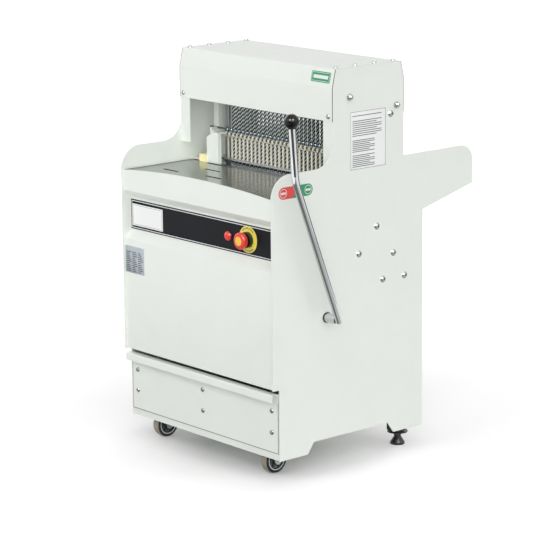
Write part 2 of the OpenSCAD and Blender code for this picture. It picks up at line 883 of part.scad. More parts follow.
module outfeed_tray() {
    end_y = wing_y - tray_end_gap;
    path = [
        [blade_y + blade_w + blade_slot + blade_gap, table_z],
        [end_y, table_z],
        [end_y, table_z - tray_lip_h]
    ];
    color(steel) along_x(-plate_in, plate_in) polygon(sheet(path, -table_t));
}

// Crossbar under the table's rear edge and the tie bar behind the blades at the top
module tie_bars() {
    cross_d = 15;
    cross_h = 20;
    cross_y = blade_y - blade_slot;
    tie_w = 16;
    tie_plate_w = 40;
    tie_plate_h = 45;
    color(paint) {
        block([-plate_in, cross_y - cross_d, table_z - table_t - cross_h],
              [plate_in, cross_y, table_z - table_t]);
        difference() {
            union() {
                along_x(-plate_in, plate_in) translate(tie_at) square(tie_w, center = true);
                both_sides() along_x(bearing_in, plate_in)
                    translate(tie_at) square([tie_plate_w, tie_plate_h], center = true);
            }
            both_sides() for (p = [long_bolts[1], head_domes[0]])
                bar_x(bolt_r + fit, plate_in - bolt_seat, plate_out, p[0], p[1]);
        }
    }
}

module bearing_plate() {
    difference() {
        union() {
            block([bearing_in, bearing_y[0], bearing_z[0]], [plate_in, bearing_y[1], bearing_z[1]]);
            bar_x(boss_r, bearing_in - boss_l, bearing_in + over, crank_y, crank_z);
            block([post_x, zone_front_y + shoe_gap, arm_low_z[0]],
                  [bearing_in + over, zone_rear_y - shoe_gap, arm_low_z[1]]);
        }
        bar_x(crank_r + fit, bearing_in - boss_l - over, plate_in + over, crank_y, crank_z);
        for (p = bearing_domes) bar_x(bolt_r + fit, plate_in - bolt_seat, plate_out, p[0], p[1]);
    }
}

module bearing_plates() {
    color(grey) both_sides() bearing_plate();
}

// A guide post and the bracket that holds its upper end
module guide_post() {
    post_y = [zone_front_y + shoe_gap, zone_rear_y - shoe_gap];
    block([post_x, post_y[0], arm_low_z[1]], [post_x + post_w, post_y[1], arm_top_z[0]]);
    difference() {
        union() {
            block([bearing_in, bracket_y[0], bracket_z], [plate_in, bracket_y[1], arm_top_z[1]]);
            block([post_x, post_y[0], arm_top_z[0]], [bearing_in + over, post_y[1], arm_top_z[1]]);
        }
        bar_x(bolt_r + fit, plate_in - bolt_seat, plate_out, long_bolts[0][0], long_bolts[0][1]);
    }
}

module guide_posts() {
    color(paint) both_sides() guide_post();
}

module lever_bush() {
    difference() {
        union() {
            bar_x(bush_r, plate_in, plate_out + bush_flange_t, lever_y, lever_z);
            bar_x(bush_flange_r, plate_out, plate_out + bush_flange_t, lever_y, lever_z);
        }
        bar_x(shaft_r + fit, plate_in - over, plate_out + bush_flange_t + over, lever_y, lever_z);
    }
}

module lever_bushes() {
    color(grey) both_sides() lever_bush();
}

module drawer_rails() {
    color(grey) both_sides() union() {
        block([plate_in - rail_w, drawer_y + 2 * panel_t, rail_z],
              [plate_in, drawer_y + drawer_d, rail_z + panel_t]);
        block([plate_in - panel_t, drawer_y + 2 * panel_t, pan_z + panel_t],
              [plate_in, drawer_y + drawer_d, rail_z + panel_t]);
    }
}

// Motor housing with its feet, the terminal box on top and the fan cover at its right end
module motor_body() {
    foot_half = 55;
    foot_h = 14;
    web_half = 30;
    fan_l = 30;
    fan_vent_r = 40;
    foot_end = 40;
    foot_x0 = motor_left_x + foot_end;
    foot_x1 = motor_right_x - foot_end;
    box_start = 60;
    box_l = 70;
    box_x0 = motor_left_x + box_start;
    box_x1 = box_x0 + box_l;
    box_half_y = 30;
    box_h = 26;
    neck_h = 2;
    neck_z = motor_z + motor_r + neck_h;
    color(grey) {
        difference() {
            union() {
                bar_x(motor_r, motor_left_x, motor_right_x, motor_y, motor_z);
                block([foot_x0, motor_y - foot_half, shelf_z],
                      [foot_x1, motor_y + foot_half, shelf_z + foot_h]);
                block([foot_x0, motor_y - web_half, shelf_z], [foot_x1, motor_y + web_half, motor_z]);
                block([box_x0, motor_y - box_half_y, motor_z], [box_x1, motor_y + box_half_y, neck_z]);
            }
            bar_x(motor_shaft_r + fit, motor_left_x - over, motor_left_x + motor_shaft_in, motor_y, motor_z);
        }
        block([box_x0, motor_y - box_half_y, neck_z], [box_x1, motor_y + box_half_y, neck_z + box_h]);
        difference() {
            bar_x(motor_r, motor_right_x, motor_right_x + fan_l, motor_y, motor_z);
            bar_x(fan_vent_r, motor_right_x, motor_right_x + fan_l - panel_t, motor_y, motor_z);
        }
    }
}

// One outline round both pulleys, out by e from the belt's seat
module belt_outline(e) {
    hull() {
        translate([crank_y, crank_z]) circle(crank_seat_r + belt_seat + e);
        translate([motor_y, motor_z]) circle(motor_seat_r + belt_seat + e);
    }
}

module drive_belt() {
    color(dark) along_x(-belt_x - belt_w / 2, -belt_x + belt_w / 2) difference() {
        belt_outline(belt_t);
        belt_outline(0);
    }
}

module control_box() {
    box_end = 50;
    box_x = [lamp_x - box_end, estop_x + box_end];
    box_d = 60;
    box_gap = 3;
    color(grey) difference() {
        block([box_x[0], stem_back_y, recess_bottom_z + box_gap],
              [box_x[1], stem_back_y + box_d, recess_top_z - box_gap]);
        bar_y(estop_stem_r + stem_gap, stem_back_y - over, stem_back_y + socket_depth,
              estop_x, estop_z);
        bar_y(lamp_hole_r + fit, stem_back_y - over, stem_back_y + socket_depth, lamp_x, recess_z);
    }
}

module estop_disc() {
    color(yellow) difference() {
        bar_y(estop_disc_d / 2, disc_y, control_y, estop_x, estop_z);
        bar_y(estop_stem_r + stem_gap, disc_y - over, control_y + over, estop_x, estop_z);
    }
}

module estop_collar() {
    color(dark) difference() {
        bar_y(estop_collar_d / 2, collar_y, disc_y, estop_x, estop_z);
        bar_y(estop_stem_r + fit, collar_y - over, disc_y + over, estop_x, estop_z);
    }
}

module estop_stem() {
    color(dark) bar_y(estop_stem_r, head_back_y - stem_in_head, stem_back_y + over, estop_x, estop_z);
}

// Mushroom head with a round cap on its face
module estop_head() {
    edge_r = 5;
    r = estop_head_d / 2;
    color(red) translate([estop_x, head_back_y, estop_z]) rotate([90, 0, 0]) difference() {
        union() {
            rotate_extrude() union() {
                square([r, estop_head_t - edge_r]);
                square([r - edge_r, estop_head_t]);
                translate([r - edge_r, estop_head_t - edge_r]) intersection() {
                    circle(edge_r);
                    square(edge_r);
                }
            }
            cylinder_z(cap_r, estop_head_t, estop_head_t + cap_t);
        }
        cylinder_z(estop_stem_r + fit, -over, stem_in_head + slide_gap);
    }
}

module lamp_lens() {
    color(red) translate([lamp_x, control_y, recess_z]) rotate([90, 0, 0])
        domed_screw(lamp_d / 2, lamp_h, lamp_hole_r, control_t + panel_t + socket_depth / 2);
}

module side_bolt_set() {
    for (p = long_bolts) translate([plate_out, p[0], p[1]]) rotate([0, 90, 0])
        domed_screw(dome_r, long_head_h, bolt_r, plate_t + bolt_seat);
    for (p = concat(head_domes, bearing_domes)) translate([plate_out, p[0], p[1]]) rotate([0, 90, 0])
        domed_screw(dome_r, dome_h, bolt_r, plate_t + bolt_seat);
}

module side_bolts() {
    color(bright) both_sides() side_bolt_set();
}

module sheet_screws() {
    shank = panel_t + plate_t;
    color(bright) both_sides() {
        at_top_screws() domed_screw(screw_head_r, screw_head_h, screw_r, shank);
        at_front_screw() domed_screw(screw_head_r, screw_head_h, screw_r, shank);
        at_rear_screws() domed_screw(screw_head_r, screw_head_h, screw_r, shank);
    }
}

module caster_mount() {
    plate_half = 30;
    cup_r = 20;
    translate([caster_x, caster_y, 0]) difference() {
        union() {
            block([-plate_half, -plate_half, pan_z - mount_t], [plate_half, plate_half, pan_z]);
            cylinder_z(cup_r, cup_z, pan_z);
        }
        cylinder_z(kingpin_r + fit, cup_z - over, pan_z + over);
    }
}

module caster_mounts() {
    color(grey) both_sides() caster_mount();
}

// Swivel fork with its kingpin and axle; the wheel trails towards the front
module caster_fork(side) {
    inner = wheel_w / 2 + wheel_gap;
    crown_front = 22;
    crown_back = 18;
    cheek_r = 11;
    axle_end = 3;
    color(grey) translate([side * caster_x, caster_y, 0]) {
        for (s = [-1, 1]) translate([s > 0 ? inner : -inner - cheek_t, 0, 0]) along_x(0, cheek_t) union() {
            translate([-caster_trail, wheel_r]) circle(cheek_r);
            polygon([
                [-caster_trail - cheek_r, wheel_r],
                [-caster_trail + cheek_r, wheel_r],
                [crown_back, fork_top_z],
                [-crown_front, fork_top_z]
            ]);
        }
        block([-inner - cheek_t, -crown_front, fork_top_z],
              [inner + cheek_t, crown_back, fork_top_z + crown_t]);
        cylinder_z(kingpin_r, fork_top_z, pan_z - over);
        bar_x(axle_r, -inner - cheek_t - axle_end, inner + cheek_t + axle_end, -caster_trail, wheel_r);
    }
}

// Middle of a wheel, with z along its axle
module at_wheel(side) {
    translate([side * caster_x, caster_y - caster_trail, wheel_r]) rotate([0, 90, 0]) children();
}

module wheel_hub(side) {
    rim_w = 4;
    rim_inset = 1;
    web_inset = 5;
    boss_wall = 6;
    boss_over = 1;
    web_w = wheel_w - 2 * web_inset;
    boss_w = wheel_w + 2 * boss_over;
    bead_w = wheel_w - 2 * rim_inset;
    color(dark) at_wheel(side) rotate_extrude() union() {
        translate([axle_r + fit, -boss_w / 2]) square([boss_wall, boss_w]);
        translate([axle_r + fit, -web_w / 2]) square([wheel_hub_r - axle_r - fit, web_w]);
        translate([wheel_hub_r - rim_w, -bead_w / 2]) square([rim_w, bead_w]);
    }
}

module wheel_tyre(side) {
    edge = 4;
    tread = wheel_r - wheel_hub_r;
    color(beige) at_wheel(side) rotate_extrude() polygon([
        [wheel_hub_r, -wheel_w / 2],
        [wheel_hub_r + tread - edge / 2, -wheel_w / 2],
        [wheel_r, -wheel_w / 2 + edge],
        [wheel_r, wheel_w / 2 - edge],
        [wheel_hub_r + tread - edge / 2, wheel_w / 2],
        [wheel_hub_r, wheel_w / 2]
    ]);
}

module left_caster_fork() {
    caster_fork(-1);
}

module right_caster_fork() {
    caster_fork(1);
}

module left_wheel_hub() {
    wheel_hub(-1);
}

module right_wheel_hub() {
    wheel_hub(1);
}

module left_wheel_tyre() {
    wheel_tyre(-1);
}

module right_wheel_tyre() {
    wheel_tyre(1);
}

module foot_sockets() {
    color(dark) both_sides() translate([foot_x, foot_y, 0]) difference() {
        block([-socket_w / 2, -socket_w / 2, socket_z], [socket_w / 2, socket_w / 2 - socket_back, pan_z]);
        cylinder_z(stud_r + fit, socket_z - over, stud_top_z + over);
    }
}

// Levelling foot: flared base, neck, hand flange and threaded stud
module foot(side) {
    base_h = 6;
    flare_h = 14;
    color(dark) translate([side * foot_x, foot_y, 0]) rotate_extrude() polygon([
        [0, 0],
        [foot_r, 0],
        [foot_r, base_h],
        [foot_neck_r, base_h + flare_h],
        [foot_neck_r, foot_flange_z],
        [foot_flange_r, foot_flange_z],
        [foot_flange_r, foot_flange_z + foot_flange_t],
        [stud_r, foot_flange_z + foot_flange_t],
        [stud_r, stud_top_z],
        [0, stud_top_z]
    ]);
}

module left_foot() {
    foot(-1);
}

module right_foot() {
    foot(1);
}

module drawer_front() {
    color(paint) difference() {
        along_x(-drawer_half, drawer_half) polygon(sheet(drawer_lip_path, -panel_t));
        at_drawer_screws() screw_hole(2 * panel_t);
    }
}

// Places of the drawer front's screws, their heads towards the front
module at_drawer_screws() {
    for (x = drawer_screw_x, z = drawer_screw_z) translate([x, drawer_y, z]) rotate([90, 0, 0]) children();
}

// Open box of five sheets with hairline seams between them: floor, front, back and two sides
module drawer_box() {
    front = drawer_y + panel_t;
    back = drawer_y + drawer_d;
    wall_z = box_z + drawer_t + seam;
    top_z = box_z + drawer_box_h;
    end_x = box_half - drawer_t - seam;
    color(paint) {
        block([-box_half, front, box_z], [box_half, back, box_z + drawer_t]);
        difference() {
            block([-end_x, front, wall_z], [end_x, front + drawer_t, top_z]);
            at_drawer_screws() screw_hole(3 * panel_t);
        }
        block([-end_x, back - drawer_t, wall_z], [end_x, back, top_z]);
        both_sides() block([box_half - drawer_t, front, wall_z], [box_half, back, top_z]);
    }
}

module drawer_screws() {
    color(bright) at_drawer_screws() domed_screw(screw_head_r, screw_head_h, screw_r, panel_t + drawer_t);
}

// Lower stretch of the lever's rod up to length l, with its bevelled end just below the shaft
module lever_stretch(l) {
    translate([lever_x, lever_y, lever_z]) rotate([lever_low_a, 0, 0]) rotate_extrude() polygon([
        [0, -lever_r],
        [lever_r - lever_end_bevel, -lever_r],
        [lever_r, lever_end_bevel - lever_r],
        [lever_r, l],
        [0, l]
    ]);
}

// The lever's rod: two straight stretches that run a little way into a bend that is a hair thicker
module lever_rod() {
    straight = lever_low_l - bend_tangent;
    bend_centre = [
        lever_y - straight * sin(lever_low_a) + lever_bend_r * cos(lever_low_a),
        lever_z + straight * cos(lever_low_a) + lever_bend_r * sin(lever_low_a)
    ];
    upper = lever_up_l - bend_tangent - ball_d / 2 + ball_seat;
    color(bright) union() {
        lever_stretch(straight + bend_lap);
        translate([lever_x, bend_centre[0], bend_centre[1]]) rotate([90, 0, 90])
            rotate([0, 0, 180 + lever_up_a]) rotate_extrude(angle = lever_low_a - lever_up_a)
            translate([lever_bend_r, 0]) circle(lever_r + bend_over);
        translate([lever_x, lever_bend[0], lever_bend[1]]) rotate([lever_up_a, 0, 0])
            translate([0, 0, bend_tangent - bend_lap]) cylinder(r = lever_r, h = upper + bend_lap);
    }
}

module lever_ball() {
    color(dark) difference() {
        translate([lever_x, lever_ball[0], lever_ball[1]]) sphere(ball_d / 2);
        translate([lever_x, lever_bend[0], lever_bend[1]]) rotate([lever_up_a, 0, 0])
            cylinder(r = lever_r, h = lever_up_l - ball_d / 2 + ball_seat);
    }
}

// Shaft through both side plates; outside the right plate its hub is shaped to the lever rod's side
module lever_shaft() {
    color(bright) difference() {
        union() {
            bar_x(shaft_r, -plate_out - bush_flange_t, (hub_x[0] + hub_x[1]) / 2, lever_y, lever_z);
            bar_x(hub_r, hub_x[0], hub_x[1], lever_y, lever_z);
        }
        lever_stretch(2 * hub_r);
    }
}

module fork_arm() {
    half = fork_slot / 2 + fork_wall;
    translate([fork_x, lever_y, lever_z]) rotate([-fork_a, 0, 0]) along_x(0, fork_t) difference() {
        union() {
            circle(fork_hub_r);
            polygon([[-fork_hub_r, 0], [fork_hub_r, 0], [half, fork_reach], [-half, fork_reach]]);
        }
        circle(shaft_r);
        translate([-fork_slot / 2, fork_root]) square([fork_slot, fork_reach]);
    }
}

module fork_arms() {
    color(grey) both_sides() fork_arm();
}

// Left post of the pusher: a front plate with a cut corner, and a ledge behind its upper edge
module pusher_left_post() {
    inner = pusher_half - pusher_post_w;
    back = pusher_front_y + pusher_post_t;
    along_y(pusher_front_y, back) polygon([
        [-pusher_half, slide_z],
        [-inner, slide_z],
        [-inner, post_top_z],
        [-pusher_half + post_cut[0], post_top_z],
        [-pusher_half, post_top_z - post_cut[1]]
    ]);
    block([-pusher_half + web_t + seam, back + seam, post_top_z - ledge_t],
          [-inner + ledge_over, upper_rod_y - curl_r - web_gap, post_top_z]);
}

// Web at an end of the pusher, which holds the rods
module pusher_web() {
    difference() {
        block([pusher_half - web_t, pusher_front_y + pusher_post_t + seam, slide_z],
              [pusher_half, finger_rear_y - web_gap, bead_rod_z + web_top]);
        bar_x(bead_rod_r + fit, 0, bead_rod_half, bead_rod_y, bead_rod_z);
        bar_x(upper_rod_r + fit, 0, pusher_half - web_t / 2, upper_rod_y, upper_rod_z);
        bar_x(lower_rod_r + fit, 0, pusher_half - web_t / 2, lower_rod_y, lower_rod_z);
    }
}

module pusher_posts() {
    color(paint) {
        pusher_left_post();
        both_sides() pusher_web();
    }
}

// Finger rod, lower rod against the fingers' fronts, and above them a rod with a bead for every blade
module pusher_rods() {
    rod_half = pusher_half - web_t / 2;
    color(bright) {
        bar_x(lower_rod_r, -rod_half, rod_half, lower_rod_y, lower_rod_z);
        bar_x(upper_rod_r, -rod_half, rod_half, upper_rod_y, upper_rod_z);
        translate([0, bead_rod_y, bead_rod_z]) rotate([0, 90, 0]) rotate_extrude() intersection() {
            union() {
                translate([0, -bead_rod_half]) square([bead_rod_r, 2 * bead_rod_half]);
                for (i = [0 : blades - 1]) translate([0, blade_at(i)]) circle(bead_r);
            }
            translate([0, -bead_rod_half]) square([bead_r + over, 2 * bead_rod_half]);
        }
    }
}

// One finger in each gap between blades and one outside each end blade, curled round the finger rod
module pusher_fingers() {
    color(beige) for (i = [0 : blades])
        translate([blade_at(i) - blade_pitch / 2, 0, 0]) along_x(-finger_w / 2, finger_w / 2) difference() {
            union() {
                translate([upper_rod_y, upper_rod_z]) circle(curl_r);
                translate([finger_front_y, table_z + finger_foot_gap])
                    square([finger_t, upper_rod_z - table_z - finger_foot_gap]);
            }
            translate([upper_rod_y, upper_rod_z]) circle(upper_rod_r + fit);
        }
}

module pusher_shoes() {
    color(yellow) both_sides()
        block([pusher_half, slide_y, slide_z],
              [pusher_half + slide_w, slide_y + slide_d, slide_z + slide_h]);
}

// Steel tongues that reach down beside the table, each with a pin for its fork
module pusher_tongues() {
    pin_end = fork_x - pin_nose;
    color(steel) both_sides() union() {
        block([pusher_half + slide_w, pin_y - tongue_w / 2, tongue_bar_z[0]],
              [tongue_x + tongue_t, pin_y + tongue_w / 2, tongue_bar_z[1]]);
        block([tongue_x, pin_y - tongue_w / 2, pin_z - tongue_w / 2],
              [tongue_x + tongue_t, pin_y + tongue_w / 2, tongue_bar_z[1]]);
        bar_x(pin_r, pin_end, tongue_x + tongue_t, pin_y, pin_z);
    }
}

// A blade frame: two bars and two uprights; lugs under the lower bar take the connecting rods
module blade_frame(bar_y0, upright_x, upright_y, lug_x) {
    pin_at_y = bar_y0 + bar_t / 2;
    lug_low_z = wrist_z - small_eye_r;
    block([-bar_half, bar_y0, top_bar_z], [bar_half, bar_y0 + bar_t, top_bar_z + bar_h]);
    difference() {
        union() {
            block([-bar_half, bar_y0, low_bar_z], [bar_half, bar_y0 + bar_t, low_bar_z + bar_h]);
            both_sides() block([lug_x, pin_at_y - lug_w / 2, lug_low_z],
                               [lug_x + lug_t, pin_at_y + lug_w / 2, low_bar_z]);
        }
        bar_x(wrist_r, -bar_half, bar_half, pin_at_y, wrist_z);
    }
    both_sides() block([upright_x, upright_y[0], low_bar_z],
                       [upright_x + upright_w, upright_y[1], top_bar_z + bar_h]);
}

module front_frame() {
    upright_y = [zone_front_y, zone_rear_y - shoe_gap];
    color(bright) blade_frame(front_bar_y, front_upright_x, upright_y, front_lug_x);
}

module rear_frame() {
    upright_y = [zone_front_y + shoe_gap, zone_rear_y];
    color(bright) blade_frame(zone_rear_y, rear_upright_x, upright_y, rear_lug_x);
}

// Guide shoes: a cheek on each side of the post, at both ends of both bars
module frame_shoes(y0, y1) {
    both_sides() for (z = [low_bar_z, top_bar_z]) {
        block([post_x - shoe_gap - shoe_t, y0, z], [post_x - shoe_gap, y1, z + bar_h]);
        block([post_x + post_w + shoe_gap, y0, z], [post_x + post_w + shoe_gap + shoe_t, y1, z + bar_h]);
    }
}

module front_frame_shoes() {
    color(beige) frame_shoes(zone_front_y, zone_front_y + cheek_d);
}

module rear_frame_shoes() {
    color(beige) frame_shoes(zone_rear_y - cheek_d, zone_rear_y);
}

// Every second blade from the first one given, with the hooks that hold its ends on the bars
module blade_set(first, hook_y0, hook_y1) {
    for (i = [first : 2 : blades - 1]) translate([blade_at(i), 0, 0]) {
        block([-blade_t / 2, blade_y, blade_low_z + hook_seat],
              [blade_t / 2, blade_y + blade_w, blade_top_z - hook_seat]);
        block([-hook_w / 2, hook_y0, blade_top_z], [hook_w / 2, hook_y1, blade_top_z + hook_h]);
        block([-hook_w / 2, hook_y0, blade_low_z - hook_h], [hook_w / 2, hook_y1, blade_low_z]);
    }
}

module front_blades() {
    color(bright) blade_set(0, front_bar_y + hook_inset, blade_y + blade_w);
}

module rear_blades() {
    color(bright) blade_set(1, blade_y, zone_rear_y + bar_t - hook_inset);
}

// An eccentric as thick as the connecting rod on it
module eccentric(x, y) {
    bar_x(eccentric_r, x - conrod_t / 2, x + conrod_t / 2, y, crank_z);
}

// Shaft with two eccentrics for each frame, the front ones towards the front
module crankshaft() {
    color(steel) union() {
        bar_x(crank_r, -plate_in + slide_gap, plate_in - slide_gap, crank_y, crank_z);
        for (s = [-1, 1]) {
            eccentric(s * (front_rod_x + conrod_t / 2), crank_y - crank_e);
            eccentric(s * (rear_rod_x + conrod_t / 2), crank_y + crank_e);
        }
    }
}

// A grooved pulley, with its axis along z
module pulley(r) {
    difference() {
        cylinder(r = r, h = pulley_w, center = true);
        rotate_extrude() translate([r - groove_d, -belt_w / 2 - slide_gap])
            square([groove_d + over, belt_w + 2 * slide_gap]);
    }
}

module crank_pulley() {
    color(grey) translate([-belt_x, crank_y, crank_z]) rotate([0, 90, 0]) difference() {
        pulley(crank_pulley_r);
        cylinder(r = crank_r, h = 2 * pulley_w, center = true);
    }
}

// Motor pulley with the motor's shaft
module motor_pulley() {
    shaft_nose = 6;
    shaft_end = -belt_x - pulley_w / 2 - shaft_nose;
    color(grey) union() {
        translate([-belt_x, motor_y, motor_z]) rotate([0, 90, 0]) pulley(motor_pulley_r);
        bar_x(motor_shaft_r, shaft_end, motor_left_x + motor_shaft_in - over, motor_y, motor_z);
    }
}

// A connecting rod: a large eye on the eccentric, a web and a small eye beside the frame's lug
module conrod(x0, y) {
    along_x(x0, x0 + conrod_t) difference() {
        union() {
            translate([y, crank_z]) circle(big_eye_r);
            translate([y, wrist_z]) circle(small_eye_r);
            translate([y - rod_web / 2, crank_z]) square([rod_web, conrod_l]);
        }
        translate([y, crank_z]) circle(eccentric_r + fit);
        translate([y, wrist_z]) circle(wrist_r);
    }
}

module front_conrods() {
    color(steel) both_sides() conrod(front_rod_x, front_pin_y);
}

module rear_conrods() {
    color(steel) both_sides() conrod(rear_rod_x, rear_pin_y);
}

place() left_side_plate();
place() right_side_plate();
place() front_fascia();
place() control_panel();
place() base_pan();
place() rear_panel();
place() motor_shelf();
place() head_cover();
place() infeed_table();
place() outfeed_tray();
place() tie_bars();
place() bearing_plates();
place() guide_posts();
place() lever_bushes();
place() drawer_rails();
place() motor_body();
place() drive_belt();
place() control_box();
place() estop_disc();
place() estop_collar();
place() lamp_lens();
place() side_bolts();
place() sheet_screws();
place() caster_mounts();
place() foot_sockets();
place() cable_gland();
place() drawer_front();
place() drawer_box();
place() drawer_screws();
place() lever_rod();
place() lever_ball();
place() lever_shaft();
place() fork_arms();
place() pusher_posts();
place() pusher_rods();
place() pusher_fingers();
place() pusher_shoes();
place() pusher_tongues();
place() front_frame();
place() front_frame_shoes();
place() front_blades();
place() rear_frame();
place() rear_frame_shoes();
place() rear_blades();
place() crankshaft();
place() crank_pulley();
place() front_conrods();
place() rear_conrods();
place() motor_pulley();
place() estop_stem();
place() estop_head();
place() left_caster_fork();
place() left_wheel_hub();
place() left_wheel_tyre();
place() right_caster_fork();
place() right_wheel_hub();
place() right_wheel_tyre();
place() left_foot();
place() right_foot();
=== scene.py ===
"""Looks of a floor-standing bread slicer: cabinet, blade head, comb pusher, lever, drawer and casters.

Sizes of the pieces are millimetres in the machine's own frame: x from its middle to the lever side, y from
the side plates' front edge to the back, z up from the floor. SubAssembly turns them into the shared frame.
Finishes and the studio are in metres.
"""

from __future__ import annotations

import functools
import json
import logging
import math
from dataclasses import dataclass, field
from enum import Enum
from typing import Any, Sequence

import bmesh
import bpy
import numpy as np
from mathutils import Matrix, Vector

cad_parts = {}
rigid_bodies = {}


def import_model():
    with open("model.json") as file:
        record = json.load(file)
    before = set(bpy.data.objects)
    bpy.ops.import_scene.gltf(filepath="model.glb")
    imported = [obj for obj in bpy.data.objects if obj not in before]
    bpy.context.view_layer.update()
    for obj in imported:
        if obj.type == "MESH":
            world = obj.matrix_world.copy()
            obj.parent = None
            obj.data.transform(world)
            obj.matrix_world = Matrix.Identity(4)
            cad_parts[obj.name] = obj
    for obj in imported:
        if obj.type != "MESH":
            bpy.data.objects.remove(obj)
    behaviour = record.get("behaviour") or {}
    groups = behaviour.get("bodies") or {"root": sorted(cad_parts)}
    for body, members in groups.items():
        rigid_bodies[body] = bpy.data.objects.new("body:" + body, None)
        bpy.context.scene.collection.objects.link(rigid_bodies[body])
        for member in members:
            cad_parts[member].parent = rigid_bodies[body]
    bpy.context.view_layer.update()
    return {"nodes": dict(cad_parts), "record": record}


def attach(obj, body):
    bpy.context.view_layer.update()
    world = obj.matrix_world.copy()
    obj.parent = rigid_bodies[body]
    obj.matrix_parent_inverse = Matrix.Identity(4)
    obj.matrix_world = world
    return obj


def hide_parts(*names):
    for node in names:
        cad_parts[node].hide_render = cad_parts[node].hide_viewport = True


LOG = logging.getLogger("slicer_looks")
Array = np.ndarray
Pair = tuple[float, float]
Pairs = tuple[Pair, ...]
Triple = tuple[float, float, float]
WHITE = (1.0, 1.0, 1.0, 1.0)
MID_X = 25.25
MID_Y = 343.0
MM = 0.001
WELD = 1e-7
EASE_SHARE = 0.6


class Body(Enum):
    """Bodies of the machine that new pieces ride on."""

    CABINET = "cabinet"
    DRAWER = "drawer"
    LEVER = "lever"
    PUSHER = "pusher"
    FRONT_FRAME = "front_blade_frame"
    REAR_FRAME = "rear_blade_frame"
    STOP_BUTTON = "stop_button"
    LEFT_WHEEL = "left_wheel"
    RIGHT_WHEEL = "right_wheel"


class Slot(Enum):
    """Material slots of the record."""

    PAINT = "white_paint"
    TABLE = "table_steel"
    BRIGHT = "bright_steel"
    PLAIN = "plain_steel"
    CAST = "cast_metal"
    PANEL = "black_panel"
    BLACK = "black_plastic"
    NYLON = "nylon"
    RED = "red_plastic"
    YELLOW = "yellow_plastic"
    BELT = "belt_rubber"
    TREAD = "wheel_rubber"


def tint(red: float, green: float, blue: float) -> Triple:
    """Turns a display colour, 0 to 255, into scene-linear values by the display's curve."""
    c = np.array([red, green, blue]) / 255.0
    return tuple(np.where(c <= 0.04045, c / 12.92, ((c + 0.055) / 1.055) ** 2.4).tolist())


@dataclass
class Nodes:
    """Adds nodes to one tree and feeds them."""

    tree: bpy.types.NodeTree

    def feed(self, node: bpy.types.Node, inputs: dict[Any, Any]) -> None:
        """Links a socket to an input, or sets the input's value.

        Args:
            node: the node that is fed.
            inputs: sockets or values by the inputs' names or numbers.
        """
        for key, source in inputs.items():
            if isinstance(source, bpy.types.NodeSocket):
                self.tree.links.new(source, node.inputs[key])
            else:
                node.inputs[key].default_value = source

    def add(self, kind: str, inputs: dict[Any, Any] | None = None, operation: str = "") -> bpy.types.Node:
        """Adds a node.

        Args:
            kind: its type without the common prefix.
            inputs: what feeds it.
            operation: what a math node does.

        Returns:
            The node.
        """
        node = self.tree.nodes.new("ShaderNode" + kind)
        if operation:
            node.operation = operation
        self.feed(node, inputs or {})
        return node

    def noise(self, place: Any, scale: float, detail: float) -> Any:
        """Gives the socket of a noise field with that many cells in a metre and octaves of finer noise."""
        return self.add("TexNoise", {"Vector": place, "Scale": scale, "Detail": detail}).outputs["Fac"]

    def ramp(self, value: Any, stops: Sequence[tuple[float, Sequence[float]]]) -> Any:
        """Maps a value to colours.

        Args:
            value: socket of the value.
            stops: places from 0 to 1 with their colours, two or more.

        Returns:
            The colour's socket.
        """
        node = self.add("ValToRGB", {"Fac": value})
        for _ in stops[2:]:
            node.color_ramp.elements.new(0.5)
        for stop, (place, colour) in zip(node.color_ramp.elements, stops):
            stop.position, stop.color = place, (*colour, 1.0)
        return node.outputs["Color"]

    def shader(self, inputs: dict[Any, Any]) -> None:
        """Feeds the material's main shader."""
        self.feed(self.tree.nodes["Principled BSDF"], inputs)


def new_material(name: str) -> tuple[bpy.types.Material, Nodes]:
    """Starts a node material.

    Args:
        name: its name.

    Returns:
        The material and its nodes.
    """
    material = bpy.data.materials.new(name)
    material.use_nodes = True
    return material, Nodes(material.node_tree)


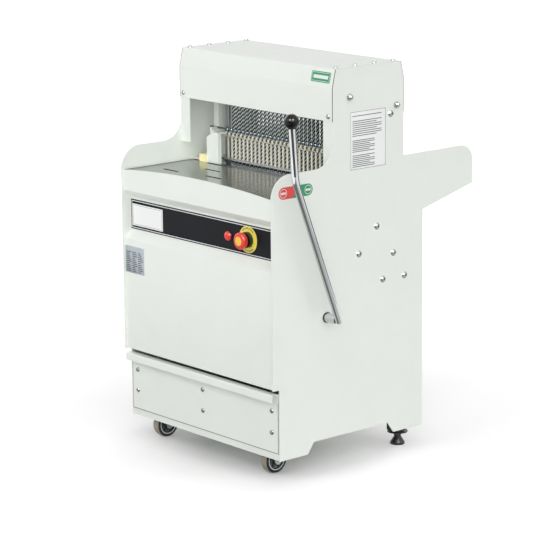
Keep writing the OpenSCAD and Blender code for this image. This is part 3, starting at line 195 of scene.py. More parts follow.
@dataclass(frozen=True)
class Finish:
    """One surface finish: colour with soft variation, grain as bump, and uneven gloss."""

    name: str
    colour: Triple
    metallic: float = 0.0
    roughness: float = 0.4
    gloss_spread: float = 0.06
    tint_spread: float = 0.03
    blotch: float = 9.0
    blotch_detail: float = 5.0
    blotch_span: Pair = (0.3, 0.7)
    grain: float = 700.0
    grain_detail: float = 3.0
    grain_span: Pair = (0.25, 0.75)
    grain_height: float = 0.00005
    grain_strength: float = 0.25
    stretch: Triple = (1.0, 1.0, 1.0)
    edge: float = 0.0
    edge_samples: int = 4
    coat: float = 0.0
    coat_roughness: float = 0.08
    specular: float = 0.5
    smoothest: float = 0.02

    def build(self) -> bpy.types.Material:
        """Makes the node material of this finish.

        Returns:
            The material: noise on object coordinates drives tint, gloss and bump.
        """
        material, nodes = new_material(self.name)
        place = nodes.add("TexCoord").outputs["Object"]
        stretched = nodes.add("Mapping", {"Vector": place, "Scale": self.stretch}).outputs["Vector"]
        grain = nodes.noise(stretched, self.grain, self.grain_detail)
        nodes.shader({
            "Base Color": self._tint(nodes, place),
            "Metallic": self.metallic,
            "Roughness": self._gloss(nodes, grain),
            "Specular IOR Level": self.specular,
            "Coat Weight": self.coat,
            "Coat Roughness": self.coat_roughness,
            "Normal": self._bump(nodes, grain),
        })
        return material

    def _tint(self, nodes: Nodes, place: Any) -> Any:
        """Lets the colour drift between a darker and a lighter tone over broad blotches.

        Args:
            nodes: the material's nodes.
            place: socket of the place on the object.

        Returns:
            The socket of the colour.
        """
        value = nodes.noise(place, self.blotch, self.blotch_detail)
        tones = np.array(self.colour) * (1.0 + self.tint_spread * np.array([[-1.0], [1.0]]))
        return nodes.ramp(value, tuple(zip(self.blotch_span, np.clip(tones, 0.0, 1.0).tolist())))

    def _gloss(self, nodes: Nodes, grain: Any) -> Any:
        """Spreads the roughness a little to both sides of its mean by the grain.

        Args:
            nodes: the material's nodes.
            grain: socket of the grain's value.

        Returns:
            The socket of the roughness.
        """
        span = nodes.add("MapRange", {
            "Value": grain,
            "From Min": self.grain_span[0],
            "From Max": self.grain_span[1],
            "To Min": max(self.smoothest, self.roughness - self.gloss_spread),
            "To Max": min(1.0, self.roughness + self.gloss_spread),
        })
        return span.outputs["Result"]

    def _bump(self, nodes: Nodes, grain: Any) -> Any:
        """Raises the grain as bump, over rounded edges where the finish has an edge radius.

        Args:
            nodes: the material's nodes.
            grain: socket of the grain's value.

        Returns:
            The socket of the normal.
        """
        bump = nodes.add("Bump", {
            "Strength": self.grain_strength,
            "Distance": self.grain_height,
            "Height": grain,
        })
        if self.edge > 0.0:
            soft = nodes.add("Bevel", {"Radius": self.edge})
            soft.samples = self.edge_samples
            nodes.feed(bump, {"Normal": soft.outputs["Normal"]})
        return bump.outputs["Normal"]


@dataclass(frozen=True)
class GlintStripeFinish(Finish):
    """Blade finish with painted glints: bright slanting stripes over darker steel stand in for lit ground
    facets.
    """

    glint_tone: Triple = (1.0, 1.0, 1.0)
    slant: float = 40.0
    period: float = 0.0078
    edge_span: Pair = (0.05, 0.65)

    def _tint(self, nodes: Nodes, place: Any) -> Any:
        """Mixes the steel's tone and the painted glint tone by a sine of the distance across the slanting
        stripes.

        Args:
            nodes: the material's nodes.
            place: socket of the place on the object.

        Returns:
            The socket of the colour.
        """
        a = math.radians(self.slant)
        across = nodes.add("VectorMath", {0: place, 1: (0.0, -math.sin(a), math.cos(a))}, "DOT_PRODUCT")
        turns = nodes.add("Math", {0: across.outputs["Value"], 1: 2.0 * math.pi / self.period}, "MULTIPLY")
        wave = nodes.add("Math", {0: turns.outputs[0]}, "SINE")
        return nodes.ramp(wave.outputs[0], tuple(zip(self.edge_span, (self.colour, self.glint_tone))))


FINISHES: dict[Slot, Finish] = {
    Slot.PAINT: Finish("white_powder_coat", tint(233, 237, 231), roughness=0.38, grain=900.0, edge=0.0009,
                       grain_height=0.00004, grain_strength=0.18, tint_spread=0.012, coat=0.08),
    Slot.TABLE: Finish("rolled_table_steel", tint(160, 164, 160), metallic=1.0, roughness=0.2, grain=60.0,
                       gloss_spread=0.05, stretch=(1.0, 26.0, 26.0), grain_height=0.00002,
                       grain_strength=0.2),
    Slot.BRIGHT: Finish("polished_steel", tint(205, 207, 208), metallic=1.0, roughness=0.13, grain=240.0,
                        gloss_spread=0.05, grain_height=0.00001, grain_strength=0.15, tint_spread=0.05),
    Slot.PLAIN: Finish("zinc_plated_steel", tint(176, 179, 180), metallic=1.0, roughness=0.36, grain=320.0,
                       gloss_spread=0.1, grain_height=0.00003, tint_spread=0.08, blotch=40.0),
    Slot.CAST: Finish("grey_cast_housing", tint(112, 115, 118), metallic=0.2, roughness=0.6, grain=500.0,
                      grain_height=0.0002, grain_strength=0.4, tint_spread=0.08),
    Slot.PANEL: Finish("black_panel_film", tint(24, 27, 31), specular=0.1, roughness=0.42, grain=1500.0,
                       grain_height=0.00003, grain_strength=0.3, tint_spread=0.06, blotch=14.0),
    Slot.BLACK: Finish("black_moulding", tint(24, 25, 27), roughness=0.34, grain=500.0, grain_height=0.00002,
                       grain_strength=0.2, tint_spread=0.1, coat=0.1),
    Slot.NYLON: Finish("ivory_nylon", tint(216, 210, 194), roughness=0.45, grain=600.0, grain_height=0.00004,
                       tint_spread=0.06, blotch=40.0),
    Slot.RED: Finish("red_moulding", tint(228, 48, 42), roughness=0.32, grain=500.0, grain_height=0.00002,
                     tint_spread=0.05, coat=0.25),
    Slot.YELLOW: Finish("yellow_moulding", tint(242, 194, 56), roughness=0.4, grain=500.0,
                        grain_height=0.00002, tint_spread=0.04, coat=0.1),
    Slot.BELT: Finish("belt_rubber", tint(30, 30, 31), roughness=0.75, grain=900.0, grain_height=0.0001,
                      grain_strength=0.5, tint_spread=0.15),
    Slot.TREAD: Finish("grey_tread_rubber", tint(146, 138, 124), roughness=0.6, grain_height=0.0001,
                       grain_strength=0.4, tint_spread=0.1, blotch=60.0),
}
CARD_WHITE = Finish("white_card", tint(240, 241, 240), roughness=0.45, tint_spread=0.008, grain=1200.0)
CARD_GREY = Finish("foil_plate", tint(176, 184, 192), metallic=0.35, roughness=0.38, blotch=70.0)
INK_DARK = Finish("dark_print", tint(74, 78, 80), roughness=0.55, tint_spread=0.08)
INK_WHITE = Finish("white_print", tint(228, 230, 230), roughness=0.5, tint_spread=0.02)
INK_GREEN = Finish("green_print", tint(34, 146, 96))
INK_RED = Finish("red_print", tint(222, 70, 66))
# Blade steel with painted highlights: the bright slanting stripes are colour standing in for glints on the
# ground facets.
BLADE_STEEL = GlintStripeFinish("blade_steel_painted_glints", tint(62, 67, 69), metallic=0.6, roughness=0.3, grain=500.0,
                           gloss_spread=0.08, stretch=(1.0, 1.0, 0.1), grain_height=0.00001,
                           glint_tone=tint(232, 238, 238))
PALE_ZINC = Finish("pale_zinc", tint(214, 214, 206), metallic=0.2, roughness=0.5, tint_spread=0.05,
                   blotch=40.0)
PALE_YELLOW = Finish("pale_yellow_nylon", tint(250, 238, 184), roughness=0.42, blotch=40.0)
KNOB_BLACK = Finish("black_phenolic", tint(11, 11, 12), roughness=0.1, gloss_spread=0.02, grain=300.0,
                    grain_height=0.000004, grain_strength=0.1, tint_spread=0.1, specular=0.25)
# Dark grey of painted shadow: strips laid in the shaded seam lines of the head cover and the drawer front.
SEAM_SHADE_GREY = Finish("painted_seam_shade", tint(70, 73, 74), roughness=0.6, tint_spread=0.08, blotch=60.0)
# Near-black of painted shade: plates and strips laid in the shaded slots and side gaps of the table.
GAP_SHADE_BLACK = Finish("painted_gap_shade", tint(22, 23, 24), roughness=0.7, tint_spread=0.1, blotch=60.0,
                    specular=0.2)
HUB_GREEN = Finish("dark_green_hub", tint(44, 60, 60), roughness=0.16, tint_spread=0.2, blotch=120.0,
                   coat=0.5)
RIM_GREY = Finish("light_rim", tint(210, 212, 210), metallic=0.2, tint_spread=0.05)
BOLT_STEEL = Finish("dull_bolt_steel", tint(158, 162, 164), metallic=1.0, roughness=0.24, grain=300.0,
                    grain_height=0.00001, tint_spread=0.08, blotch=60.0)
BEAD_STEEL = Finish("blue_grey_steel", tint(116, 128, 134), metallic=1.0, roughness=0.2, tint_spread=0.1,
                    blotch=60.0)
CHROME = Finish("polished_chrome", tint(204, 206, 207), metallic=1.0, roughness=0.05, gloss_spread=0.02,
                grain=240.0, grain_height=0.000004, grain_strength=0.08, tint_spread=0.04)
DISC_YELLOW = Finish("pale_yellow_disc", tint(240, 224, 92), roughness=0.42, blotch=40.0)
NODE_FINISHES: dict[str, Finish] = {
    "pusher_tongues": PALE_ZINC,
    "pusher_shoes": PALE_YELLOW,
    "lever_rod": CHROME,
    "estop_disc": DISC_YELLOW,
}


@functools.cache
def material_of(finish: Finish) -> bpy.types.Material:
    """Gives a finish's material, built at the first call."""
    return finish.build()


def dress_solids(frame: dict[str, Any]) -> None:
    """Gives every solid the finish of its record slot, or its own where it has one.
    """
    for row in frame["record"]["subparts"]:
        finish = NODE_FINISHES.get(row["node"], FINISHES[Slot(row["material_slot"])])
        materials = frame["nodes"][row["node"]].data.materials
        materials.clear()
        materials.append(material_of(finish))


@dataclass
class Shell:
    """Points and faces of a surface before it becomes a mesh."""

    points: Array
    quads: Array
    caps: list[list[int]] = field(default_factory=list)

    def along_x(self, xs: Array) -> Shell:
        """Repeats the surface along x.

        Args:
            xs: places of the copies.

        Returns:
            One surface with all copies: every copy's points are the first one's plus its shift.
        """
        shifts = np.stack([xs, np.zeros_like(xs), np.zeros_like(xs)], axis=1)
        points = (shifts[:, None, :] + self.points[None, :, :]).reshape(-1, 3)
        step = np.arange(len(xs)) * len(self.points)
        quads = (step[:, None, None] + self.quads[None, :, :]).reshape(-1, 4)
        caps = [[int(i + s) for i in cap] for s in step for cap in self.caps]
        return Shell(points, quads, caps)

    def mirrored(self) -> Shell:
        """Gives the surface with x turned to its opposite."""
        points = self.points * np.array([-1.0, 1.0, 1.0])
        return Shell(points, self.quads[:, ::-1], [cap[::-1] for cap in self.caps])


def joined(shells: Sequence[Shell]) -> Shell:
    """Puts several surfaces into one.

    Args:
        shells: the surfaces.

    Returns:
        One surface: the points one after the other, the faces counted on by the points before them.
    """
    starts = np.cumsum([0] + [len(s.points) for s in shells[:-1]])
    caps = [[int(i + b) for i in cap] for s, b in zip(shells, starts) for cap in s.caps]
    quads = np.concatenate([s.quads + b for s, b in zip(shells, starts)])
    return Shell(np.concatenate([s.points for s in shells]), quads, caps)


def loft(rings: Array, cap: bool = True, loop: bool = False) -> Shell:
    """Joins closed rings of points, each to the next one, by quads.

    Args:
        rings: array of ring, point in the ring, and coordinate.
        cap: whether the first and the last ring are closed by a face.
        loop: whether the last ring joins the first one again.

    Returns:
        The surface: quad i, j has the corners j and j + 1 of rings i and i + 1.
    """
    m, n, _ = rings.shape
    i, j = np.meshgrid(np.arange(m if loop else m - 1), np.arange(n), indexing="ij")
    k, nxt = (i + 1) % m, (j + 1) % n
    quads = np.stack([i * n + j, i * n + nxt, k * n + nxt, k * n + j], axis=-1).reshape(-1, 4)
    ends = [list(range(n))[::-1], list(range((m - 1) * n, m * n))] if cap and not loop else []
    return Shell(rings.reshape(-1, 3), quads, ends)


@dataclass(frozen=True)
class Seat:
    """A place on the machine with its own directions: across, up, and out of the surface."""

    origin: Triple
    across: Triple
    up: Triple
    out: Triple

    def put(self, u: Array, v: Array, w: Array) -> Array:
        """Carries local values to the machine's frame: the origin plus each value times its direction."""
        u, v, w = np.broadcast_arrays(u, v, w)
        return (np.array(self.origin) + u[..., None] * np.array(self.across)
                + v[..., None] * np.array(self.up) + w[..., None] * np.array(self.out))


def facing_front(x: float, y: float, z: float) -> Seat:
    """Gives a seat on a face that looks to the front."""
    return Seat((x, y, z), (1.0, 0.0, 0.0), (0.0, 0.0, 1.0), (0.0, -1.0, 0.0))


def facing_back(x: float, y: float, z: float) -> Seat:
    """Gives a seat on a face that looks to the back."""
    return Seat((x, y, z), (-1.0, 0.0, 0.0), (0.0, 0.0, 1.0), (0.0, 1.0, 0.0))


def facing_up(x: float, y: float, z: float) -> Seat:
    """Gives a seat on a face that looks up."""
    return Seat((x, y, z), (1.0, 0.0, 0.0), (0.0, 1.0, 0.0), (0.0, 0.0, 1.0))


def facing_side(side: float, x: float, y: float, z: float) -> Seat:
    """Gives a seat on a face that looks to the right where side is 1, or to the left where it is -1."""
    return Seat((x, y, z), (0.0, side, 0.0), (0.0, 0.0, 1.0), (side, 0.0, 0.0))


def around(count: int) -> Array:
    """Gives that many angles evenly round a full turn."""
    return np.linspace(0.0, 2.0 * math.pi, count, endpoint=False)


def spread(count: int, pitch: float) -> Array:
    """Gives that many places a pitch apart, evenly about zero."""
    return (np.arange(count) - (count - 1) / 2) * pitch


def rounded_box(width: float, height: float, radius: float, arc: int = 6) -> Array:
    """Outline of a rectangle with round corners: four quarter circles about the inset corners.

    Args:
        width: full width.
        height: full height.
        radius: corner radius.
        arc: points on each corner.

    Returns:
        Rows of u and v, counter-clockwise.
    """
    a = np.linspace(0.0, math.pi / 2, arc)[None, :] + (np.arange(4) * math.pi / 2)[:, None]
    cu = np.array([1.0, -1.0, -1.0, 1.0])[:, None] * (width / 2 - radius)
    cv = np.array([1.0, 1.0, -1.0, -1.0])[:, None] * (height / 2 - radius)
    return np.stack([cu + radius * np.cos(a), cv + radius * np.sin(a)], axis=-1).reshape(-1, 2)


def slab(outline: Array, thick: float, seat: Seat, ease: float = 0.0) -> Shell:
    """A flat plate of a convex outline whose upper edge is eased by a small slope.

    Args:
        outline: rows of u and v.
        thick: height above the seat.
        seat: where it lies.
        ease: width of the eased edge.

    Returns:
        Rings at the seat, at the eased edge's foot and at the top, the last one drawn in by the ease.
    """
    mid = outline.mean(axis=0)
    reach = np.abs(outline - mid).max()
    drawn = mid + (outline - mid) * (1.0 - ease / reach)
    heights = np.array([0.0, thick - min(ease, thick * EASE_SHARE), thick])
    flat = np.stack([outline, outline, drawn])
    return loft(seat.put(flat[..., 0], flat[..., 1], heights[:, None]))


def line_frame(outline: Array, inner: Array, thick: float, seat: Seat) -> Shell:
    """A flat line round a field: a four-sided section carried along an outer and an inner outline."""
    flat = np.stack([outline, outline, inner, inner])
    return loft(seat.put(flat[..., 0], flat[..., 1], np.array([[0.0], [thick], [thick], [0.0]])), loop=True)


@dataclass(frozen=True)
class Tag:
    """A thin plate: width and height, corner radius, thickness and the width of its eased edge."""

    size: Pair
    corner: float
    thick: float
    ease: float = 0.0

    def shell(self, seat: Seat) -> Shell:
        """Gives the plate on a seat."""
        return slab(rounded_box(*self.size, self.corner), self.thick, seat, self.ease)


@dataclass(frozen=True)
class Border:
    """A line round a field: outer size, width of the line, outer and inner corner radius, and thickness."""

    size: Pair
    line: float
    rounds: Pair
    thick: float

    def shell(self, seat: Seat) -> Shell:
        """Gives the line on a seat.

        Args:
            seat: where it lies.

        Returns:
            Its surface, between the outer outline and one that is smaller by the line's width all round.
        """
        inner = (side - 2 * self.line for side in self.size)
        outline = rounded_box(*self.size, self.rounds[0])
        return line_frame(outline, rounded_box(*inner, self.rounds[1]), self.thick, seat)


def turned(radii: Array, heights: Array, seat: Seat, loop: bool = False) -> Shell:
    """A turned surface: each row of radii goes once round the seat's outward direction, at its heights."""
    a = around(radii.shape[1])
    return loft(seat.put(radii * np.cos(a), radii * np.sin(a), heights), loop=loop)


def lathe(profile: Array, seat: Seat, count: int = 48, loop: bool = False) -> Shell:
    """A turned piece of round sections: rows of radius and height, as a ring where the profile is closed."""
    return turned(np.repeat(profile[:, :1], count, axis=1), profile[:, 1:], seat, loop)


def bars(centres: Array, sizes: Array, seat: Seat, thick: float, turns: Array | None = None) -> Shell:
    """Flat bars on a seat, each turned by its angle.

    Args:
        centres: rows of u and v.
        sizes: rows of length and width.
        seat: where they lie.
        thick: height above the seat.
        turns: angles of the bars, or none where all lie level.

    Returns:
        One surface: corner signs times half sizes, turned, then moved to the centres.
    """
    turns = np.zeros(len(centres)) if turns is None else turns
    signs = np.array([[1.0, 1.0], [-1.0, 1.0], [-1.0, -1.0], [1.0, -1.0]])
    half = signs[None] * sizes[:, None, :] / 2
    c, s = np.cos(turns)[:, None], np.sin(turns)[:, None]
    u = centres[:, None, 0] + half[..., 0] * c - half[..., 1] * s
    v = centres[:, None, 1] + half[..., 0] * s + half[..., 1] * c
    heights = np.array([[0.0], [thick]])
    return joined([loft(seat.put(a, b, heights)) for a, b in zip(u, v)])


def rules(left: Any, rows: Array, lengths: Array, width: float, seat: Seat, thick: float) -> Shell:
    """Ruled lines: level bars that start at their left ends, one in each row."""
    spots = np.stack([left + lengths / 2, rows], axis=1)
    return bars(spots, np.stack([lengths, np.full_like(lengths, width)], axis=1), seat, thick)


def rounded_path(path: Array, radius: float, steps: int = 7) -> Array:
    """Rounds the corners of a path: each corner gives way to a parabola between points on its two runs.

    Args:
        path: rows of corners.
        radius: radius of a right-angled bend.
        steps: points on each bend.

    Returns:
        The path with its ends kept.
    """
    run = np.diff(path, axis=0)
    unit = run / np.linalg.norm(run, axis=1)[:, None]
    turn = np.arccos(np.clip((unit[:-1] * unit[1:]).sum(axis=1), -1.0, 1.0))
    reach = (radius * np.tan(turn / 2))[:, None]
    before, after = path[1:-1] - reach * unit[:-1], path[1:-1] + reach * unit[1:]
    t = np.linspace(0.0, 1.0, steps)[None, :, None]
    bend = (1 - t) ** 2 * before[:, None] + 2 * t * (1 - t) * path[1:-1, None] + t ** 2 * after[:, None]
    return np.concatenate([path[:1], bend.reshape(-1, 2), path[-1:]])


def left_of(path: Array) -> Array:
    """Unit direction to the left of travel along a path: its gradient, turned and made one long."""
    run = np.gradient(path, axis=0)
    return run[:, ::-1] * np.array([-1.0, 1.0]) / np.linalg.norm(run, axis=1)[:, None]


def sheet_ring(path: Array, thick: float) -> Array:
    """Section of a bent sheet: the path, then back along the path moved to its left by the thickness."""
    return np.concatenate([path, (path + thick * left_of(path))[::-1]])


def bent_sheet(ring: Array, xs: Array, lift: Array | None = None) -> Shell:
    """Carries a sheet's section along x, with its first edge lifted where asked.

    Args:
        ring: closed section, there and back along the sheet.
        xs: places of the sections.
        lift: optional rise of the section's first edge at each place.

    Returns:
        The closed surface; each end is closed by quads across the sheet.
    """
    n = len(ring)
    rings = np.zeros((len(xs), n, 3))
    rings[:, :, 0] = xs[:, None]
    rings[:, :, 1:] = ring[None]
    if lift is not None:
        rings[:, [0, n - 1], 2] += lift[:, None]
    shell = loft(rings, cap=False)
    j = np.arange(n // 2 - 1)
    end = np.stack([j, j + 1, n - 2 - j, n - 1 - j], axis=1)
    last = end + (len(xs) - 1) * n
    return Shell(shell.points, np.concatenate([shell.quads, end[:, ::-1], last]))


@dataclass
class SubAssembly:
    """A part of the machine that turns its surfaces into pieces."""

    def piece(self, name: str, shell: Shell, finish: Finish | None = None, slot: Slot | None = None,
              replaces: Sequence[str] = (), body: Body = Body.CABINET, sharp: float = 35.0) -> None:
        """Makes one piece, an object at the origin with its place in its mesh.

        Args:
            name: the piece's name.
            shell: its surface in millimetres in the machine's frame.
            finish: its finish, or none where it has the slot's own.
            slot: the record's slot whose finish it takes where it has no finish of its own.
            replaces: solids that it stands for.
            body: the body it rides on.
            sharp: angle in degrees past which an edge is sharp.
        """
        points = (shell.points - np.array([MID_X, MID_Y, 0.0])) * MM
        mesh = bpy.data.meshes.new(name)
        mesh.from_pydata(points.tolist(), [], shell.quads.tolist() + shell.caps)
        work = bmesh.new()
        work.from_mesh(mesh)
        bmesh.ops.remove_doubles(work, verts=work.verts, dist=WELD)
        bmesh.ops.recalc_face_normals(work, faces=work.faces)
        work.to_mesh(mesh)
        work.free()
        mesh.polygons.foreach_set("use_smooth", np.ones(len(mesh.polygons), bool))
        mesh.set_sharp_from_angle(angle=math.radians(sharp))
        mesh.materials.append(material_of(finish or FINISHES[slot]))
        item = bpy.data.objects.new(name, mesh)
        bpy.context.scene.collection.objects.link(item)
        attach(item, body.value)
        if replaces:
            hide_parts(*replaces)
        LOG.info("piece %s: %d faces on %s", name, len(mesh.polygons), body.value)


@dataclass
class PaintedSheets(SubAssembly):
    """Bent sheets of the cabinet with their real bend radii: fascia, head cover and drawer front."""

    inside: float = 297.0
    outside: float = 300.0
    thick: float = 2.0
    bend: float = 3.0
    arch: float = 15.0
    stations: int = 61
    fascia: Pairs = ((6.0, 720.0), (6.0, 667.0), (26.0, 647.0), (26.0, 557.0), (6.0, 537.0), (6.0, 240.0),
                     (26.0, 240.0))
    ledge: Triple = (8.0, 28.0, 716.0)
    head: Pairs = ((204.0, 892.0), (204.0, 975.0), (215.0, 1021.0), (434.0, 1021.0), (445.0, 975.0),
                   (445.0, 892.0))
    drawer: Pairs = ((0.0, 209.0), (0.0, 229.0), (22.0, 229.0), (22.0, 73.5))
    drawer_half: float = 295.5
    shade_rise: float = 0.12
    shade_deep: float = 1.0
    shade_width: float = 1.3
    seam_width: float = 1.4
    seam_y: float = 20.0
    low_seam_z: float = 74.3
    side_seam_z: float = 140.0
    side_seam_high: float = 130.0

    def fascia_rise(self, x: Array) -> Array:
        """Rise of the apron's upper edge at each x: a circle through the arch's middle and both ends."""
        r = (self.inside ** 2 + self.arch ** 2) / (2 * self.arch)
        return np.sqrt(r * r - x * x) - (r - self.arch)

    def folded(self, path: Pairs, xs: Array, side: float = 1.0, lift: Array | None = None) -> Shell:
        """Bends a sheet along a path of corners: to its left where side is 1, to its right where it is -1."""
        ring = sheet_ring(rounded_path(np.array(path), self.bend), side * self.thick)
        return bent_sheet(ring, xs, lift)

    def cover_shade_strips(self) -> None:
        """Thin dark strips of painted shadow along the head cover's upright edges, where the seam against the
        side plates lies in shade.
        """
        strips: list[Shell] = []
        half = len(self.head) // 2
        for run in (self.head[:half], self.head[half:]):
            path = rounded_path(np.array(run), self.bend)
            outer = sheet_ring(path, self.thick + self.shade_rise)[len(path):][::-1]
            ring = sheet_ring(outer, -self.shade_deep)
            strip = bent_sheet(ring, self.outside + np.array([-self.shade_width, self.shade_rise]))
            strips += [strip, strip.mirrored()]
        self.piece("cover_seam_shadows", joined(strips), SEAM_SHADE_GREY)

    def drawer_shade_lines(self) -> None:
        """Dark lines of painted shadow along the drawer front's lower edge and its two sides, where the gap
        round the drawer lies in shade.
        """
        wide, high = self.seam_width, self.side_seam_high
        side = self.drawer_half - wide / 2
        spots = np.array([[0.0, self.low_seam_z], [side, self.side_seam_z], [-side, self.side_seam_z]])
        sizes = np.array([[2 * self.drawer_half, wide], [wide, high], [wide, high]])
        drawer_shade_lines = bars(spots, sizes, facing_front(0.0, self.seam_y, 0.0), self.shade_rise)
        self.piece("drawer_seam_shadows", drawer_shade_lines, SEAM_SHADE_GREY, body=Body.DRAWER)

    def build(self) -> None:
        """Makes the three sheets and the strips of painted shadow at the cover's and the drawer's edges."""
        xs = np.linspace(-self.inside, self.inside, self.stations)
        near, far, low = self.ledge
        shelf = np.array([[near, low], [far, low], [far, low + self.thick], [near, low + self.thick]])
        skin = [self.folded(self.fascia, xs, lift=self.fascia_rise(xs)), bent_sheet(shelf, xs[[0, -1]])]
        self.piece("fascia_sheet", joined(skin), slot=Slot.PAINT, replaces=["front_fascia"])
        ends = np.array([-1.0, 1.0])
        cover = self.folded(self.head, ends * self.outside)
        self.piece("head_cover_sheet", cover, slot=Slot.PAINT, replaces=["head_cover"])
        self.cover_shade_strips()
        front = self.folded(self.drawer, ends * self.drawer_half, -1.0)
        self.piece("drawer_front_sheet", front, None, Slot.PAINT, ["drawer_front"], Body.DRAWER)
        self.drawer_shade_lines()


@dataclass
class ControlDesk(SubAssembly):
    """Black control panel's line and card, the emergency stop's head and the lamp."""

    panel_y: float = 24.5
    panel_z: float = 602.0
    line: Border = Border((578.0, 73.0), 1.9, (1.5, 0.6), 0.12)
    card_at: Pair = (-222.5, 601.0)
    card: Tag = Tag((127.0, 58.0), 2.0, 0.4, 0.3)
    card_rim: Border = Border((121.0, 52.0), 0.7, (1.6, 1.0), 0.46)
    stop_at: Triple = (183.0, 8.0, 604.0)
    head_rows: Pairs = ((9.0, 0.0), (16.5, 0.0), (18.6, 0.9), (19.4, 3.0), (19.8, 5.4), (21.2, 6.4),
                        (21.5, 7.4), (21.5, 11.0), (21.0, 12.8), (19.6, 14.4), (17.0, 15.5), (13.0, 16.0),
                        (11.0, 16.0))
    cap_rows: Pairs = ((11.6, 15.6), (11.6, 16.4), (11.0, 16.8), (7.2, 17.0), (6.6, 16.7), (5.9, 16.7),
                       (5.3, 17.0), (2.0, 17.0))
    knurls: int = 28
    knurl_steps: int = 4
    knurl_depth: float = 0.012
    knurl_span: Pair = (6.0, 13.0)
    disc_y: float = 23.0
    ticks: int = 9
    tick_arcs: Pairs = ((50.0, 130.0), (230.0, 310.0))
    tick_radius: float = 29.0
    tick_size: Pair = (4.4, 2.4)
    tick_thick: float = 0.15
    lamp_x: float = 107.0
    lamp_sides: int = 56
    lens_radius: float = 12.0
    lens_foot: float = 2.4
    lens_rise: float = 6.4
    lens_end: float = 0.47 * math.pi
    lens_steps: int = 28
    ripple: float = 0.16
    ripples: float = 22.0
    lamp_ring: Pairs = ((12.1, 0.0), (13.0, 0.0), (13.0, 1.5), (12.6, 2.1), (12.1, 2.2))

    def stop(self) -> None:
        """Mushroom head with a gripping rim, its yellow cap, and tick marks on the disc behind it."""
        x, y, z = self.stop_at
        seat = facing_front(x, y, z)
        rows = np.array(self.head_rows)
        radius, height = rows[:, :1], rows[:, 1:]
        low, high = self.knurl_span
        grip = np.where((height > low) & (height < high), self.knurl_depth, 0.0)
        wave = 1.0 + grip * (np.cos(self.knurls * around(self.knurls * self.knurl_steps)) - 1.0)
        self.piece("stop_head", turned(radius * wave, height, seat), slot=Slot.RED, replaces=["estop_head"],
                   body=Body.STOP_BUTTON)
        cap = lathe(np.array(self.cap_rows), seat)
        self.piece("stop_cap", cap, slot=Slot.YELLOW, body=Body.STOP_BUTTON)
        turns = np.radians(np.concatenate([np.linspace(*arc, self.ticks) for arc in self.tick_arcs]))
        spots = self.tick_radius * np.stack([np.cos(turns), np.sin(turns)], axis=1)
        sizes = np.broadcast_to(np.array(self.tick_size), spots.shape)
        disc = facing_front(x, self.disc_y, z)
        self.piece("stop_disc_ticks", bars(spots, sizes, disc, self.tick_thick, turns), INK_DARK)

    def lamp(self) -> None:
        """Red lamp lens: a dome with shallow rings, in a dark seat ring."""
        seat = facing_front(self.lamp_x, self.panel_y, self.panel_z)
        t = np.linspace(0.0, self.lens_end, self.lens_steps)
        height = self.lens_foot + self.lens_rise * np.sin(t) + self.ripple * np.sin(self.ripples * t)
        dome = np.stack([self.lens_radius * np.cos(t), height], axis=1)
        rows = np.concatenate([[[self.lens_radius, 0.0]], dome])
        self.piece("lamp_dome", lathe(rows, seat, self.lamp_sides), slot=Slot.RED, replaces=["lamp_lens"])
        ring = lathe(np.array(self.lamp_ring), seat, self.lamp_sides, loop=True)
        self.piece("lamp_seat", ring, slot=Slot.BLACK)

    def build(self) -> None:
        """Makes the line round the panel, the blank card with its fine rim, the stop and the lamp."""
        self.piece("panel_line", self.line.shell(facing_front(0.0, self.panel_y, self.panel_z)), INK_WHITE)
        x, z = self.card_at
        seat = facing_front(x, self.panel_y, z)
        self.piece("blank_card", self.card.shell(seat), CARD_WHITE)
        self.piece("blank_card_rim", self.card_rim.shell(seat), INK_DARK)
        self.stop()
        self.lamp()


